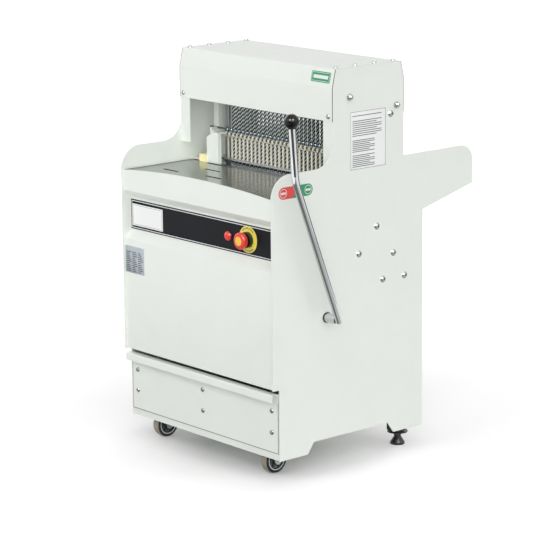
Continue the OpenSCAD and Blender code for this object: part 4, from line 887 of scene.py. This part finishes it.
@dataclass
class Plates(SubAssembly):
    """Thin plates and print on the sheets, all without words."""

    plate_x: float = 300.0
    rating_at: Triple = (-257.0, 6.0, 484.0)
    rating: Tag = Tag((79.0, 72.0), 1.2, 0.3, 0.2)
    rating_columns: Triple = (-35.0, -10.0, 14.0)
    rating_rows: tuple[float, float, int] = (-31.0, 20.0, 11)
    rating_rule: Triple = (21.0, 2.3, 0.34)
    rating_short: float = 9.0
    rating_stride: int = 7
    rating_kinds: int = 5
    pill_at: Pair = (79.5, 734.0)
    pill_run: float = 81.0
    pill_radius: float = 15.0
    pill_slant: float = 12.0
    pill_arc: int = 25
    pill_thick: float = 0.3
    pill_ease: float = 0.1
    sign_ring: Pair = (11.6, 10.2)
    sign_sides: int = 40
    sign_bar: Pair = (16.0, 5.4)
    sign_thick: float = 0.4
    slope_foot: Pair = (204.0, 975.0)
    slope: Pair = (11.0, 46.0)
    slope_share: float = 0.52
    sheet: float = 2.0
    badge_x: float = 252.0
    badge: Tag = Tag((70.0, 27.0), 4.0, 0.3, 0.2)
    badge_line: Border = Border((65.0, 22.0), 1.0, (3.0, 2.2), 0.4)
    badge_bar: Tag = Tag((54.0, 9.0), 1.0, 0.4)
    form_at: Pair = (322.5, 836.5)
    form: Tag = Tag((123.0, 149.0), 1.5, 0.25, 0.2)
    form_rim: Border = Border((120.0, 146.0), 1.0, (0.8, 0.4), 0.32)
    form_blocks: tuple[tuple[float, float, int], ...] = ((62.0, 62.0, 1), (49.0, 12.0, 8), (0.0, -28.0, 7),
                                                         (-38.0, -66.0, 7))
    form_text: float = 107.0
    form_shares: Triple = (0.93, 0.16, 0.22)
    form_wide_rows: int = 8
    form_cycle: int = 3
    form_rule: Pair = (1.9, 0.32)

    def rating_plate(self) -> None:
        """Bare foil plate with three columns of plain bars of uneven length."""
        seat = facing_front(*self.rating_at)
        self.piece("rating_foil", self.rating.shell(seat), CARD_GREY)
        grid = np.meshgrid(np.array(self.rating_columns), np.linspace(*self.rating_rows))
        left, rows = (axis.ravel() for axis in grid)
        longest, width, thick = self.rating_rule
        kinds = np.arange(len(rows)) * self.rating_stride % self.rating_kinds
        lengths = longest - self.rating_short * kinds / (self.rating_kinds - 1)
        self.piece("rating_rules", rules(left, rows, lengths, width, seat, thick), INK_DARK)

    def half_pill(self, sign: float) -> Array:
        """Half of a pill cut by a slanting line: a half circle, then the straight run to the slant.

        Args:
            sign: -1 for the front half, 1 for the rear half.

        Returns:
            Rows of u and v.
        """
        r = self.pill_radius
        a = np.linspace(math.pi / 2, 1.5 * math.pi, self.pill_arc)
        end = np.stack([-self.pill_run / 2 + r * np.cos(a), r * np.sin(a)], axis=1)
        slant = np.array([[-self.pill_slant, -r], [self.pill_slant, r]])
        return -sign * np.concatenate([end, slant])

    def stop_start_pill(self) -> None:
        """Red and green pill with a plain ring and bar on each half."""
        seat = facing_side(1.0, self.plate_x, *self.pill_at)
        for name, sign, ink in (("pill_red", -1.0, INK_RED), ("pill_green", 1.0, INK_GREEN)):
            self.piece(name, slab(self.half_pill(sign), self.pill_thick, seat, self.pill_ease), ink)
        a = around(self.sign_sides)
        ring = np.stack([np.cos(a), np.sin(a)], axis=1)
        mids = np.array([[-self.pill_run / 2, 0.0], [self.pill_run / 2, 0.0]])
        outer, inner = self.sign_ring
        signs = [line_frame(m + outer * ring, m + inner * ring, self.sign_thick, seat) for m in mids]
        signs.append(bars(mids, np.full((2, 2), self.sign_bar), seat, self.sign_thick))
        self.piece("pill_signs", joined(signs), INK_WHITE)

    def badge_plate(self) -> None:
        """Green badge on the head's sloped edge, with a white line and a white bar."""
        slope = np.array(self.slope)
        up = slope / np.linalg.norm(slope)
        out = np.array([-up[1], up[0]])
        mid = np.array(self.slope_foot) + self.slope_share * slope + self.sheet * out
        seat = Seat((self.badge_x, *mid), (1.0, 0.0, 0.0), (0.0, *up), (0.0, *out))
        self.piece("badge_green", self.badge.shell(seat), INK_GREEN)
        white = [self.badge_line.shell(seat), self.badge_bar.shell(seat)]
        self.piece("badge_white", joined(white), INK_WHITE)

    def blank_form(self) -> None:
        """White form on the right plate: a dark rim and empty ruled lines, every third one shorter."""
        seat = facing_side(1.0, self.plate_x, *self.form_at)
        self.piece("form_card", self.form.shell(seat), CARD_WHITE)
        rows = np.concatenate([np.linspace(*block) for block in self.form_blocks])
        i = np.arange(len(rows))
        full, third, late = self.form_shares
        shorter = i % self.form_cycle == self.form_cycle - 1
        lengths = self.form_text * (full - third * shorter - late * (i > self.form_wide_rows))
        lines = rules(-self.form_text / 2, rows, lengths, self.form_rule[0], seat, self.form_rule[1])
        self.piece("form_rules", joined([self.form_rim.shell(seat), lines]), INK_DARK)

    def build(self) -> None:
        """Makes the plates."""
        self.rating_plate()
        self.stop_start_pill()
        self.badge_plate()
        self.blank_form()


@dataclass
class TableGapShades(SubAssembly):
    """Painted shade on the table: dark plates and rims in its slots, and narrow dark strips along its sides
    where the gaps lie in shade.
    """

    top: float = 720.0
    slots: Pairs = ((-194.0, 230.0), (-128.0, 168.0), (-48.0, 105.0), (-204.0, 90.0))
    slot_box: Triple = (57.8, 4.8, 0.5)
    slot_floor: float = 718.2
    slot_thick: float = 0.4
    rim_box: Triple = (61.0, 9.0, 1.5)
    rim_rise: float = 0.06
    seam_box: Triple = (1.3, 262.0, 0.3)
    seam_at: Triple = (296.3, 139.0, 719.5)
    seam_thick: float = 0.6
    arc: int = 3

    def build(self) -> None:
        """Makes one dark plate in each slot, a dark rim round it, and one dark strip along each side, all
        painted shade.
        """
        slot = rounded_box(*self.slot_box, self.arc)
        trim = [slab(slot, self.slot_thick, facing_up(x, y, self.slot_floor)) for x, y in self.slots]
        rim = rounded_box(*self.rim_box, self.arc)
        trim += [line_frame(rim, slot, self.rim_rise, facing_up(x, y, self.top)) for x, y in self.slots]
        seam = slab(rounded_box(*self.seam_box, self.arc), self.seam_thick, facing_up(*self.seam_at))
        self.piece("table_gap_shades", joined([*trim, seam, seam.mirrored()]), GAP_SHADE_BLACK)


@dataclass
class BladeSets(SubAssembly):
    """Scalloped bread blades and their hooks on both frames."""

    count: int = 24
    pitch: float = 15.8
    thick: float = 0.8
    front: float = 281.0
    back: float = 294.0
    low: float = 630.0
    top: float = 960.0
    play: float = 0.02
    scallop: float = 10.2
    depth: float = 2.6
    bevel: float = 4.0
    per_scallop: int = 10
    hook: Pair = (5.0, 8.0)
    hook_corner: float = 1.2
    hook_arc: int = 4
    hook_ease: float = 0.5
    hook_front: float = 268.0
    hook_back: float = 307.0
    sharp: float = 20.0

    def blade(self) -> Shell:
        """One blade: at each height a five-sided section whose cutting edge follows round scallops.

        Returns:
            The blade on the plane x = 0: the edge runs back by the depth times one less the size of a sine.
        """
        steps = int(round((self.top - self.low) / self.scallop * self.per_scallop))
        z = np.linspace(self.low + self.play, self.top - self.play, steps + 1)
        edge = self.front + self.depth * (1.0 - np.abs(np.sin(math.pi * z / self.scallop)))
        ground = edge + self.bevel
        flat = np.full_like(z, self.back)
        half = np.full_like(z, self.thick / 2)
        x = np.stack([np.zeros_like(z), half, half, -half, -half], axis=1)
        y = np.stack([edge, ground, flat, flat, ground], axis=1)
        return loft(np.stack([x, y, np.broadcast_to(z[:, None], x.shape)], axis=-1))

    def hooks(self, near: float, far: float) -> list[Shell]:
        """Two eased blocks that hold a blade's ends on the bars.

        Args:
            near: front of the blocks.
            far: back of the blocks.

        Returns:
            The blocks on the plane x = 0.
        """
        wide, high = self.hook
        outline = rounded_box(wide, far - near, self.hook_corner, self.hook_arc)
        feet = (self.top, self.low - high)
        return [slab(outline, high, facing_up(0.0, (near + far) / 2, z), self.hook_ease) for z in feet]

    def build(self) -> None:
        """Makes both sets: every second blade goes to the same frame."""
        x = spread(self.count, self.pitch)
        plan = (("front", Body.FRONT_FRAME, x[0::2], self.hook_front, self.back),
                ("rear", Body.REAR_FRAME, x[1::2], self.front, self.hook_back))
        for label, body, places, near, far in plan:
            shell = joined([self.blade(), *self.hooks(near, far)]).along_x(places)
            self.piece(f"{label}_scalloped_blades", shell, BLADE_STEEL, Slot.BRIGHT, [f"{label}_blades"],
                       body, self.sharp)


@dataclass
class PusherComb(SubAssembly):
    """Nylon fingers of the pusher: thin strips that curl forward over the finger rod."""

    count: int = 25
    pitch: float = 15.8
    width: float = 5.8
    thick: float = 3.4
    foot_z: float = 728.0
    rod: Pair = (269.45, 798.0)
    curl_turn: float = 285.0
    curl_radius: float = 4.85
    steps: tuple[int, int] = (22, 34)
    section: tuple[float, float, float, int] = (1.0, 1.0, 0.2, 3)

    def finger(self) -> Shell:
        """One finger: a rounded section carried up the strip and then forward round the rod.

        Returns:
            The finger on the plane x = 0.
        """
        y, z = self.rod
        rise = np.linspace(self.foot_z + self.thick / 2, z, self.steps[0])
        turn = np.radians(np.linspace(0.0, self.curl_turn, self.steps[1]))[1:]
        strip = np.stack([np.full_like(rise, y + self.curl_radius), rise], axis=1)
        curl = np.array(self.rod) + self.curl_radius * np.stack([np.cos(turn), np.sin(turn)], axis=1)
        path = np.concatenate([strip, curl])
        section = rounded_box(*self.section)
        deep = path[:, None] + (section[:, 1:] * self.thick)[None] * left_of(path)[:, None]
        across = np.broadcast_to(section[:, 0] * self.width, deep.shape[:2])
        return loft(np.concatenate([across[..., None], deep], axis=-1))

    def build(self) -> None:
        """Makes all fingers: one in each gap between blades and one outside each end blade."""
        comb = self.finger().along_x(spread(self.count, self.pitch))
        self.piece("comb_fingers", comb, slot=Slot.NYLON, replaces=["pusher_fingers"], body=Body.PUSHER)


@dataclass
class PusherRods(SubAssembly):
    """Rods of the pusher: the beaded rod, the finger rod and the darker lower rod."""

    half: float = 228.0
    bead_half: float = 254.0
    finger_rod: Triple = (269.45, 798.0, 3.0)
    lower_rod: Triple = (269.45, 730.0, 3.0)
    bead_rod: Triple = (266.95, 811.0, 2.5)
    bead: float = 4.5
    beads: int = 24
    pitch: float = 15.8
    arc: int = 11
    sides: int = 24
    ease: float = 0.6

    def rod(self, place: Triple, half: float, middle: Sequence[Sequence[float]] = ()) -> Shell:
        """A round rod across the machine with eased ends.

        Args:
            place: its y and z, and its radius.
            half: half its length.
            middle: rows of radius and x between its ends.

        Returns:
            The rod's surface.
        """
        y, z, r = place
        e = self.ease
        rows = [[r - e, -half], [r, e - half], *middle, [r, half - e], [r - e, half]]
        return lathe(np.array(rows), facing_side(1.0, 0.0, y, z), self.sides)

    def balls(self) -> list[list[float]]:
        """Profile of the beads: each one is a ball cut by the rod.

        Returns:
            Rows of radius and x.
        """
        reach = math.acos(self.bead_rod[2] / self.bead)
        t = np.linspace(-reach, reach, self.arc)
        x = spread(self.beads, self.pitch)[:, None] + self.bead * np.sin(t)
        radius = np.broadcast_to(self.bead * np.cos(t), x.shape)
        return np.stack([radius, x], axis=-1).reshape(-1, 2).tolist()

    def build(self) -> None:
        """Makes the three rods."""
        beaded = self.rod(self.bead_rod, self.bead_half, self.balls())
        upper = joined([beaded, self.rod(self.finger_rod, self.half)])
        self.piece("beaded_rod", upper, BEAD_STEEL, Slot.BRIGHT, ["pusher_rods"], Body.PUSHER)
        self.piece("lower_comb_rod", self.rod(self.lower_rod, self.half), slot=Slot.PLAIN, body=Body.PUSHER)


@dataclass
class Fasteners(SubAssembly):
    """Bolts and screws that show: socket domes, cap nuts and cross-slot pan heads."""

    sides: int = 48
    dome: Pair = (9.0, 5.0)
    dome_rings: int = 9
    socket_mouth: Pair = (4.6, 3.9)
    socket_flat: float = 3.4
    socket_depths: Pair = (2.4, 2.6)
    socket_shares: Pair = (0.96, 0.4)
    nut: Pair = (9.0, 12.0)
    nut_sides: int = 60
    nut_flat: float = 0.87
    nut_rows: Pairs = ((0.95, 0.0), (1.0, 0.6), (1.0, 4.6), (0.9, 5.4))
    nut_dome: Pair = (0.80, 5.6)
    nut_arc: float = 0.46 * math.pi
    nut_rings: int = 12
    pan: Pair = (6.0, 4.0)
    pan_rows: Pairs = ((1.0, 0.0), (1.0, 0.45), (0.97, 0.62), (0.9, 0.78), (0.8, 0.9))
    pan_flat: tuple[float, float, int] = (0.68, 0.06, 11)
    cross_half: Pair = (0.75, 3.4)
    cross_edge: Pair = (9.0, 6.0)
    cross_deep: float = 1.6
    plate_x: float = 300.0
    nuts: Pairs = ((258.0, 949.0), (419.0, 913.0))
    domes: Pairs = ((401.0, 892.0), (353.0, 609.0), (291.0, 546.0), (411.0, 532.0), (374.0, 468.0),
                    (450.0, 467.0))
    head_x: float = 285.0
    head_top: float = 1023.0
    head_front: Pair = (202.0, 904.0)
    top_screws: tuple[float, ...] = (227.0, 292.0, 357.0, 422.0)
    rear_at: Pair = (287.0, 510.0)
    rear_screws: Triple = (160.0, 380.0, 600.0)
    drawer_y: float = 20.0
    drawer_x: Triple = (-272.0, 0.0, 272.0)
    drawer_z: Pair = (126.0, 182.0)

    def hexagon(self, angle: Array, flat: float) -> Array:
        """Radius of a hexagon: half its width over the cosine of the angle from the nearest flat."""
        return flat / np.cos((angle + math.pi / 6) % (math.pi / 3) - math.pi / 6)

    def socket_dome(self, seat: Seat) -> Shell:
        """Dome with a six-sided socket: rings shrink down the dome, then drop along the hexagon.

        Args:
            seat: where it sits.

        Returns:
            Its surface.
        """
        r, h = self.dome
        ball = (r * r + h * h) / (2 * h)
        mouth, lip = self.socket_mouth
        outer = np.linspace(r, mouth, self.dome_rings)
        socket = self.hexagon(around(self.sides), self.socket_flat)
        walls = [share * socket for share in (1.0, *self.socket_shares)]
        radii = np.concatenate([np.repeat(outer[:, None], self.sides, axis=1), walls])
        rise = np.sqrt(ball * ball - outer * outer) - (ball - h)
        rim = math.sqrt(ball * ball - lip * lip) - (ball - h)
        drops = [rim - deep for deep in (0.0, *self.socket_depths)]
        return turned(radii, np.concatenate([np.maximum(rise, 0.0), drops])[:, None], seat)

    def cap_nut(self, seat: Seat) -> Shell:
        """Cap nut: a chamfered hexagon that runs into a round dome.

        Args:
            seat: where it sits.

        Returns:
            Its surface.
        """
        r, h = self.nut
        six = np.minimum(self.hexagon(around(self.nut_sides), self.nut_flat * r), r)
        share, foot = self.nut_dome
        t = np.linspace(0.0, self.nut_arc, self.nut_rings)
        rows = np.array(self.nut_rows)
        dome = np.repeat((share * r * np.cos(t))[:, None], self.nut_sides, axis=1)
        height = np.concatenate([rows[:, 1], foot + (h - foot) * np.sin(t)])
        return turned(np.concatenate([rows[:, :1] * six, dome]), height[:, None], seat)

    def pan_screw(self, seat: Seat) -> Shell:
        """Pan head: a dome on a polar grid, lowered by a smooth step where a point lies in the cross slot.

        Args:
            seat: where it sits.

        Returns:
            Its surface.
        """
        r, h = self.pan
        middle = np.linspace(*self.pan_flat)
        rows = np.concatenate([self.pan_rows, np.stack([middle, np.ones_like(middle)], axis=1)])
        rho = np.repeat(rows[:, :1] * r, self.sides, axis=1)
        a = around(self.sides)
        near = np.minimum(np.abs(rho * np.cos(a)), np.abs(rho * np.sin(a)))
        (wide, long), (side, end) = self.cross_half, self.cross_edge
        slot = 1.0 / (1.0 + np.exp((near - wide) * side)) / (1.0 + np.exp((rho - long) * end))
        return turned(rho, rows[:, 1:] * h - self.cross_deep * slot, seat)

    def build(self) -> None:
        """Makes the side bolts, the sheet screws and the drawer's screws."""
        bolts: list[Shell] = []
        screws: list[Shell] = []
        rear_x, rear_y = self.rear_at
        for side in (1.0, -1.0):
            bolts += [self.cap_nut(facing_side(side, side * self.plate_x, y, z)) for y, z in self.nuts]
            bolts += [self.socket_dome(facing_side(side, side * self.plate_x, y, z)) for y, z in self.domes]
            x = side * self.head_x
            screws += [self.pan_screw(facing_up(x, y, self.head_top)) for y in self.top_screws]
            screws.append(self.pan_screw(facing_front(x, *self.head_front)))
            screws += [self.pan_screw(facing_back(side * rear_x, rear_y, z)) for z in self.rear_screws]
        spots = [(x, z) for x in self.drawer_x for z in self.drawer_z]
        fronts = [self.pan_screw(facing_front(x, self.drawer_y, z)) for x, z in spots]
        self.piece("plate_bolts", joined(bolts), BOLT_STEEL, Slot.BRIGHT, ["side_bolts"])
        self.piece("cover_screws", joined(screws), BOLT_STEEL, Slot.BRIGHT, ["sheet_screws"])
        self.piece("drawer_face_screws", joined(fronts), BOLT_STEEL, Slot.BRIGHT, ["drawer_screws"],
                   Body.DRAWER)


@dataclass
class LeverKnob(SubAssembly):
    """Black ball at the lever's upper end."""

    centre: Triple = (344.0, 29.67, 918.04)
    radius: float = 18.5
    lean: float = 4.2
    neck: float = 15.2
    top: float = 0.495 * math.pi
    rings: int = 40
    sides: int = 64
    collar: Pairs = ((9.05, -17.4), (10.3, -17.4), (10.8, -16.8), (10.8, -15.8))

    def build(self) -> None:
        """Makes the ball with a short collar where the rod enters."""
        s, c = math.sin(math.radians(self.lean)), math.cos(math.radians(self.lean))
        seat = Seat(self.centre, (1.0, 0.0, 0.0), (0.0, c, s), (0.0, -s, c))
        t = np.linspace(-math.asin(self.neck / self.radius), self.top, self.rings)
        ball = self.radius * np.stack([np.cos(t), np.sin(t)], axis=1)
        knob = lathe(np.concatenate([self.collar, ball]), seat, self.sides)
        self.piece("lever_knob", knob, KNOB_BLACK, Slot.BLACK, ["lever_ball"], Body.LEVER)


@dataclass
class CasterWheels(SubAssembly):
    """Wheels with ribbed green hubs, a light rim and a dark tyre with a pale running band."""

    x: float = 220.0
    y: float = 69.0
    radius: float = 35.0
    width: float = 26.0
    sides: int = 72
    bore: float = 27.0
    bore_half: float = 12.4
    crown: float = 5.0
    crown_power: float = 0.7
    crown_steps: int = 15
    band_rise: float = 0.1
    band_half: float = 0.9
    band_steps: int = 9
    hub_rows: tuple[Triple, ...] = ((4.2, 14.0, 0.0), (9.5, 14.0, 0.0), (10.5, 12.0, 0.2), (12.0, 6.0, 1.0),
                                    (16.0, 5.0, 1.0), (20.0, 5.0, 1.0), (22.5, 6.0, 0.8), (23.2, 10.0, 0.1),
                                    (24.0, 11.5, 0.0))
    ribs: int = 6
    rib_rise: float = 5.0
    rib_slope: float = 3.0
    rib_cut: float = 1.4
    rim_rows: Pairs = ((24.1, -11.8), (26.9, -11.8), (26.9, 11.8), (24.1, 11.8))

    def crowned(self, t: Array, rise: float) -> Array:
        """Rows over the tyre's crown: radius by a power of the angle's cosine, width by its sine."""
        radius = self.radius - self.crown + rise * np.cos(t) ** self.crown_power
        return np.stack([radius, (self.width / 2) * np.sin(t)], axis=1)

    def tread(self) -> Array:
        """Section of the tyre: its crown, then its bore."""
        top = self.crowned(np.linspace(-0.5, 0.5, self.crown_steps) * math.pi, self.crown - self.band_rise)
        return np.concatenate([top, [[self.bore, self.bore_half], [self.bore, -self.bore_half]]])

    def band(self) -> Array:
        """Section of the running band: the crown's middle, raised a hair."""
        top = self.crowned(np.linspace(-self.band_half, self.band_half, self.band_steps), self.crown)
        return np.concatenate([top, (top - np.array([self.crown / 2, 0.0]))[::-1]])

    def hub(self, seat: Seat) -> Shell:
        """Hub: boss, dished web with raised ribs and an outer wall, the same on both faces.

        Args:
            seat: where it sits.

        Returns:
            Its surface.
        """
        r, base, web = np.array(self.hub_rows).T[:, :, None]
        rib = np.clip(np.cos(self.ribs * around(self.sides)) * self.rib_slope - self.rib_cut, 0.0, 1.0)
        face = base + self.rib_rise * web * rib
        radii = np.repeat(np.concatenate([r, r[::-1]]), self.sides, axis=1)
        return turned(radii, np.concatenate([face, -face[::-1]]), seat, loop=True)

    def build(self) -> None:
        """Makes both wheels."""
        for label, sign, body in (("left", -1.0, Body.LEFT_WHEEL), ("right", 1.0, Body.RIGHT_WHEEL)):
            seat = facing_side(1.0, sign * self.x, self.y, self.radius)
            tread = lathe(self.tread(), seat, self.sides, loop=True)
            self.piece(f"{label}_tread", tread, FINISHES[Slot.BELT], Slot.TREAD, [f"{label}_wheel_tyre"],
                       body)
            band = lathe(self.band(), seat, self.sides, loop=True)
            self.piece(f"{label}_running_band", band, slot=Slot.TREAD, body=body)
            hub = self.hub(seat)
            self.piece(f"{label}_ribbed_hub", hub, HUB_GREEN, Slot.BLACK, [f"{label}_wheel_hub"], body)
            rim = lathe(np.array(self.rim_rows), seat, self.sides, loop=True)
            self.piece(f"{label}_rim", rim, RIM_GREY, Slot.BLACK, body=body)


def hang(lamp: bpy.types.Object, towards: Vector) -> None:
    """Puts a lamp into the scene.

    Args:
        lamp: the lamp.
        towards: direction that its back looks to.
    """
    lamp.rotation_mode = "QUATERNION"
    lamp.rotation_quaternion = towards.to_track_quat("Z", "Y")
    bpy.context.scene.collection.objects.link(lamp)


@dataclass(frozen=True)
class Sun:
    """A broad sun lamp: its direction from the machine, its strength, and its apparent width in degrees."""

    name: str
    towards: Triple
    strength: float
    spread: float

    def build(self) -> None:
        """Hangs the lamp."""
        data = bpy.data.lights.new(self.name, "SUN")
        data.energy, data.angle = self.strength, math.radians(self.spread)
        hang(bpy.data.objects.new(self.name, data), Vector(self.towards))


@dataclass(frozen=True)
class Softbox:
    """A square lamp that looks at the machine's middle; a highlight one shows only on glossy surfaces."""

    name: str
    place: Triple
    size: float
    power: float
    highlight: bool = False
    target: Triple = (0.0, 0.0, 0.6)

    def build(self) -> None:
        """Hangs the lamp."""
        data = bpy.data.lights.new(self.name, "AREA")
        data.energy, data.size = self.power, self.size
        lamp = bpy.data.objects.new(self.name, data)
        lamp.location = self.place
        lamp.visible_diffuse = not self.highlight
        hang(lamp, Vector(self.place) - Vector(self.target))


def flat_piece(name: str, corners: Array, material: bpy.types.Material) -> bpy.types.Object:
    """Adds a four-sided flat object to the scene.

    Args:
        name: its name.
        corners: its four corners in order.
        material: its material.

    Returns:
        The object.
    """
    mesh = bpy.data.meshes.new(name)
    mesh.from_pydata(corners.tolist(), [], [(0, 1, 2, 3)])
    mesh.materials.append(material)
    item = bpy.data.objects.new(name, mesh)
    bpy.context.scene.collection.objects.link(item)
    return item


@dataclass(frozen=True)
class Card:
    """A card that shows only in reflections, as in a photographer's room: its name and its grey."""

    name: str
    tone: float

    def corners(self) -> Array:
        """Gives the card's four corners in order."""
        raise NotImplementedError

    def build(self) -> None:
        """Puts up the card."""
        material, nodes = new_material(self.name)
        nodes.shader({"Base Color": (self.tone, self.tone, self.tone, 1.0), "Roughness": 1.0})
        card = flat_piece(self.name, self.corners(), material)
        card.visible_camera = card.visible_diffuse = card.visible_shadow = False


@dataclass(frozen=True)
class UprightCard(Card):
    """A card that stands on the floor between two points."""

    ends: Pairs = ()
    high: float = 1.0

    def corners(self) -> Array:
        """Gives both ends on the floor, then both above them."""
        flat = np.array([*self.ends, *self.ends[::-1]])
        return np.column_stack([flat, [0.0, 0.0, self.high, self.high]])


@dataclass(frozen=True)
class FloorCard(Card):
    """A card on the floor that runs away from the lever's foot between two headings in degrees."""

    headings: Pair = (0.0, 90.0)
    reach: Pair = (0.15, 4.0)
    foot: Pair = (0.319, -0.233)
    lift: float = 0.004

    def corners(self) -> Array:
        """Gives the corners: radii from the foot along both headings.

        Returns:
            The first edge from near to far, then the second one from far to near.
        """
        a = np.radians(np.repeat(self.headings, 2))
        r = np.array([*self.reach, *self.reach[::-1]])
        x, y = self.foot[0] + r * np.sin(a), self.foot[1] - r * np.cos(a)
        return np.column_stack([x, y, np.full(4, self.lift)])


@dataclass
class Studio:
    """Pale floor, even light and the camera at the photograph's place."""

    eye: Triple = (4.62545, -4.0938, 1.8360)
    azimuth: float = 49.16
    elevation: float = 12.744
    roll: float = -0.543
    lens: float = 157.55
    sensor: float = 36.0
    clip: Pair = (0.1, 300.0)
    ambient: float = 0.19
    ambient_colour: tuple[float, ...] = (0.985, 0.995, 1.0, 1.0)
    floor_half: float = 60.0
    floor_colour: tuple[float, ...] = (0.85, 0.85, 0.85, 1.0)
    # Fill by distance from fill_centre: none close to the machine, so the floor round its base is darker, a
    # painted shadow over the cast one.
    fill_with_painted_shadow: Pairs = ((0.12, 0.0), (0.40, 0.28), (1.6, 0.58))
    fill_centre: Triple = (0.0, -0.2, 0.0)
    fill_reach: float = 2.0
    stands: tuple[Any, ...] = (
        Sun("right", (0.90, -0.05, 0.42), 1.55, 95.0),
        Sun("top", (0.10, 0.10, 1.0), 0.2, 60.0),
        Sun("left", (-0.95, -0.02, 0.30), 0.7, 40.0),
        Sun("rear", (-0.25, 0.95, 0.22), 0.7, 40.0),
        Sun("right_front", (0.70, -0.62, 0.35), 0.66, 50.0),
        Softbox("front_softbox", (-0.30, -2.80, 2.20), 2.2, 34.0),
        Softbox("left_highlight", (1.46, -3.40, 3.19), 1.4, 180.0, True),
        Softbox("right_highlight", (3.44, -1.26, 3.23), 1.4, 180.0, True),
        UprightCard("camera_side_card", 0.1, ((0.05, -3.40), (3.30, -0.95)), 0.9),
        UprightCard("rear_side_card", 0.1, ((2.6, 3.2), (-0.6, 4.6)), 1.2),
        FloorCard("front_floor_card", 0.22, (-80.0, 62.0), (0.15, 4.0)),
        FloorCard("side_floor_card", 0.75, (62.0, 125.0), (0.15, 2.4)),
    )

    def camera(self) -> None:
        """Sets the camera: its back looks along azimuth and elevation, and roll turns it about that."""
        a, e, r = (math.radians(angle) for angle in (self.azimuth, self.elevation, self.roll))
        back = Vector((math.sin(a) * math.cos(e), -math.cos(a) * math.cos(e), math.sin(e)))
        right = (-back).cross(Vector((0.0, 0.0, 1.0))).normalized()
        up = right.cross(-back)
        across = right * math.cos(r) + up * math.sin(r)
        over = up * math.cos(r) - right * math.sin(r)
        data = bpy.data.cameras.new("photo_camera")
        data.lens, data.sensor_width = self.lens, self.sensor
        data.clip_start, data.clip_end = self.clip
        camera = bpy.data.objects.new("photo_camera", data)
        turn = Matrix((across, over, back)).transposed().to_4x4()
        camera.matrix_world = Matrix.Translation(Vector(self.eye)) @ turn
        bpy.context.scene.collection.objects.link(camera)
        bpy.context.scene.camera = camera

    def world(self) -> None:
        """Even light from all round; straight looks and reflections see a white surround."""
        world = bpy.data.worlds.new("even_studio")
        bpy.context.scene.world = world
        world.use_nodes = True
        nodes = Nodes(world.node_tree)
        nodes.tree.nodes.clear()
        soft = nodes.add("Background", {"Color": self.ambient_colour, "Strength": self.ambient})
        white = nodes.add("Background", {"Color": WHITE, "Strength": 1.0})
        path = nodes.add("LightPath").outputs
        seen = nodes.add("Math", {0: path["Is Camera Ray"], 1: path["Is Transmission Ray"]}, "MAXIMUM")
        both = nodes.add("Math", {0: seen.outputs[0], 1: path["Is Glossy Ray"]}, "MAXIMUM")
        mix = nodes.add("MixShader", {"Fac": both.outputs[0], 1: soft.outputs[0], 2: white.outputs[0]})
        nodes.add("OutputWorld", {"Surface": mix.outputs[0]})

    def floor(self) -> None:
        """Lays the pale floor; straight looks and reflections get a fill that grows outwards, up to white, so
        the floor near the machine stays darker: painted shadow beside the cast one.
        """
        material, nodes = new_material("pale_floor")
        path = nodes.add("LightPath").outputs
        seen = nodes.add("Math", {0: path["Is Camera Ray"], 1: path["Is Glossy Ray"]}, "MAXIMUM")
        place = nodes.add("TexCoord").outputs["Object"]
        away = nodes.add("VectorMath", {0: place, 1: self.fill_centre}, "DISTANCE")
        share = nodes.add("Math", {0: away.outputs["Value"], 1: self.fill_reach}, "DIVIDE")
        stops = [(radius / self.fill_reach, (value, value, value)) for radius, value in self.fill_with_painted_shadow]
        fill = nodes.add("Math", {0: seen.outputs[0], 1: nodes.ramp(share.outputs[0], stops)}, "MULTIPLY")
        nodes.shader({
            "Base Color": self.floor_colour,
            "Roughness": 1.0,
            "Specular IOR Level": 0.0,
            "Emission Color": WHITE,
            "Emission Strength": fill.outputs[0],
        })
        signs = np.array([[-1.0, -1.0, 0.0], [1.0, -1.0, 0.0], [1.0, 1.0, 0.0], [-1.0, 1.0, 0.0]])
        floor = flat_piece("floor", self.floor_half * signs, material)

    def build(self) -> None:
        """Sets camera, world, lamps, cards and floor."""
        bpy.context.scene.view_settings.view_transform = "Standard"
        self.camera()
        self.world()
        for stand in self.stands:
            stand.build()
        self.floor()


def corners(box: tuple[Vector, Vector]) -> list[list[float]]:
    """Gives a box as plain lists."""
    return [list(box[0]), list(box[1])]


def main() -> None:
    """Builds the studio and all pieces round the loaded solids."""
    logging.basicConfig(level=logging.INFO, format="%(name)s: %(message)s")
    for item in list(bpy.data.objects):
        bpy.data.objects.remove(item)
    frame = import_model()
    Studio().build()
    dress_solids(frame)
    groups = (PaintedSheets, ControlDesk, Plates, TableGapShades, BladeSets, PusherComb, PusherRods, Fasteners,
              LeverKnob, CasterWheels)
    for group in groups:
        LOG.info("group %s", group.__name__)
        group().build()


if __name__ == "__main__":
    main()
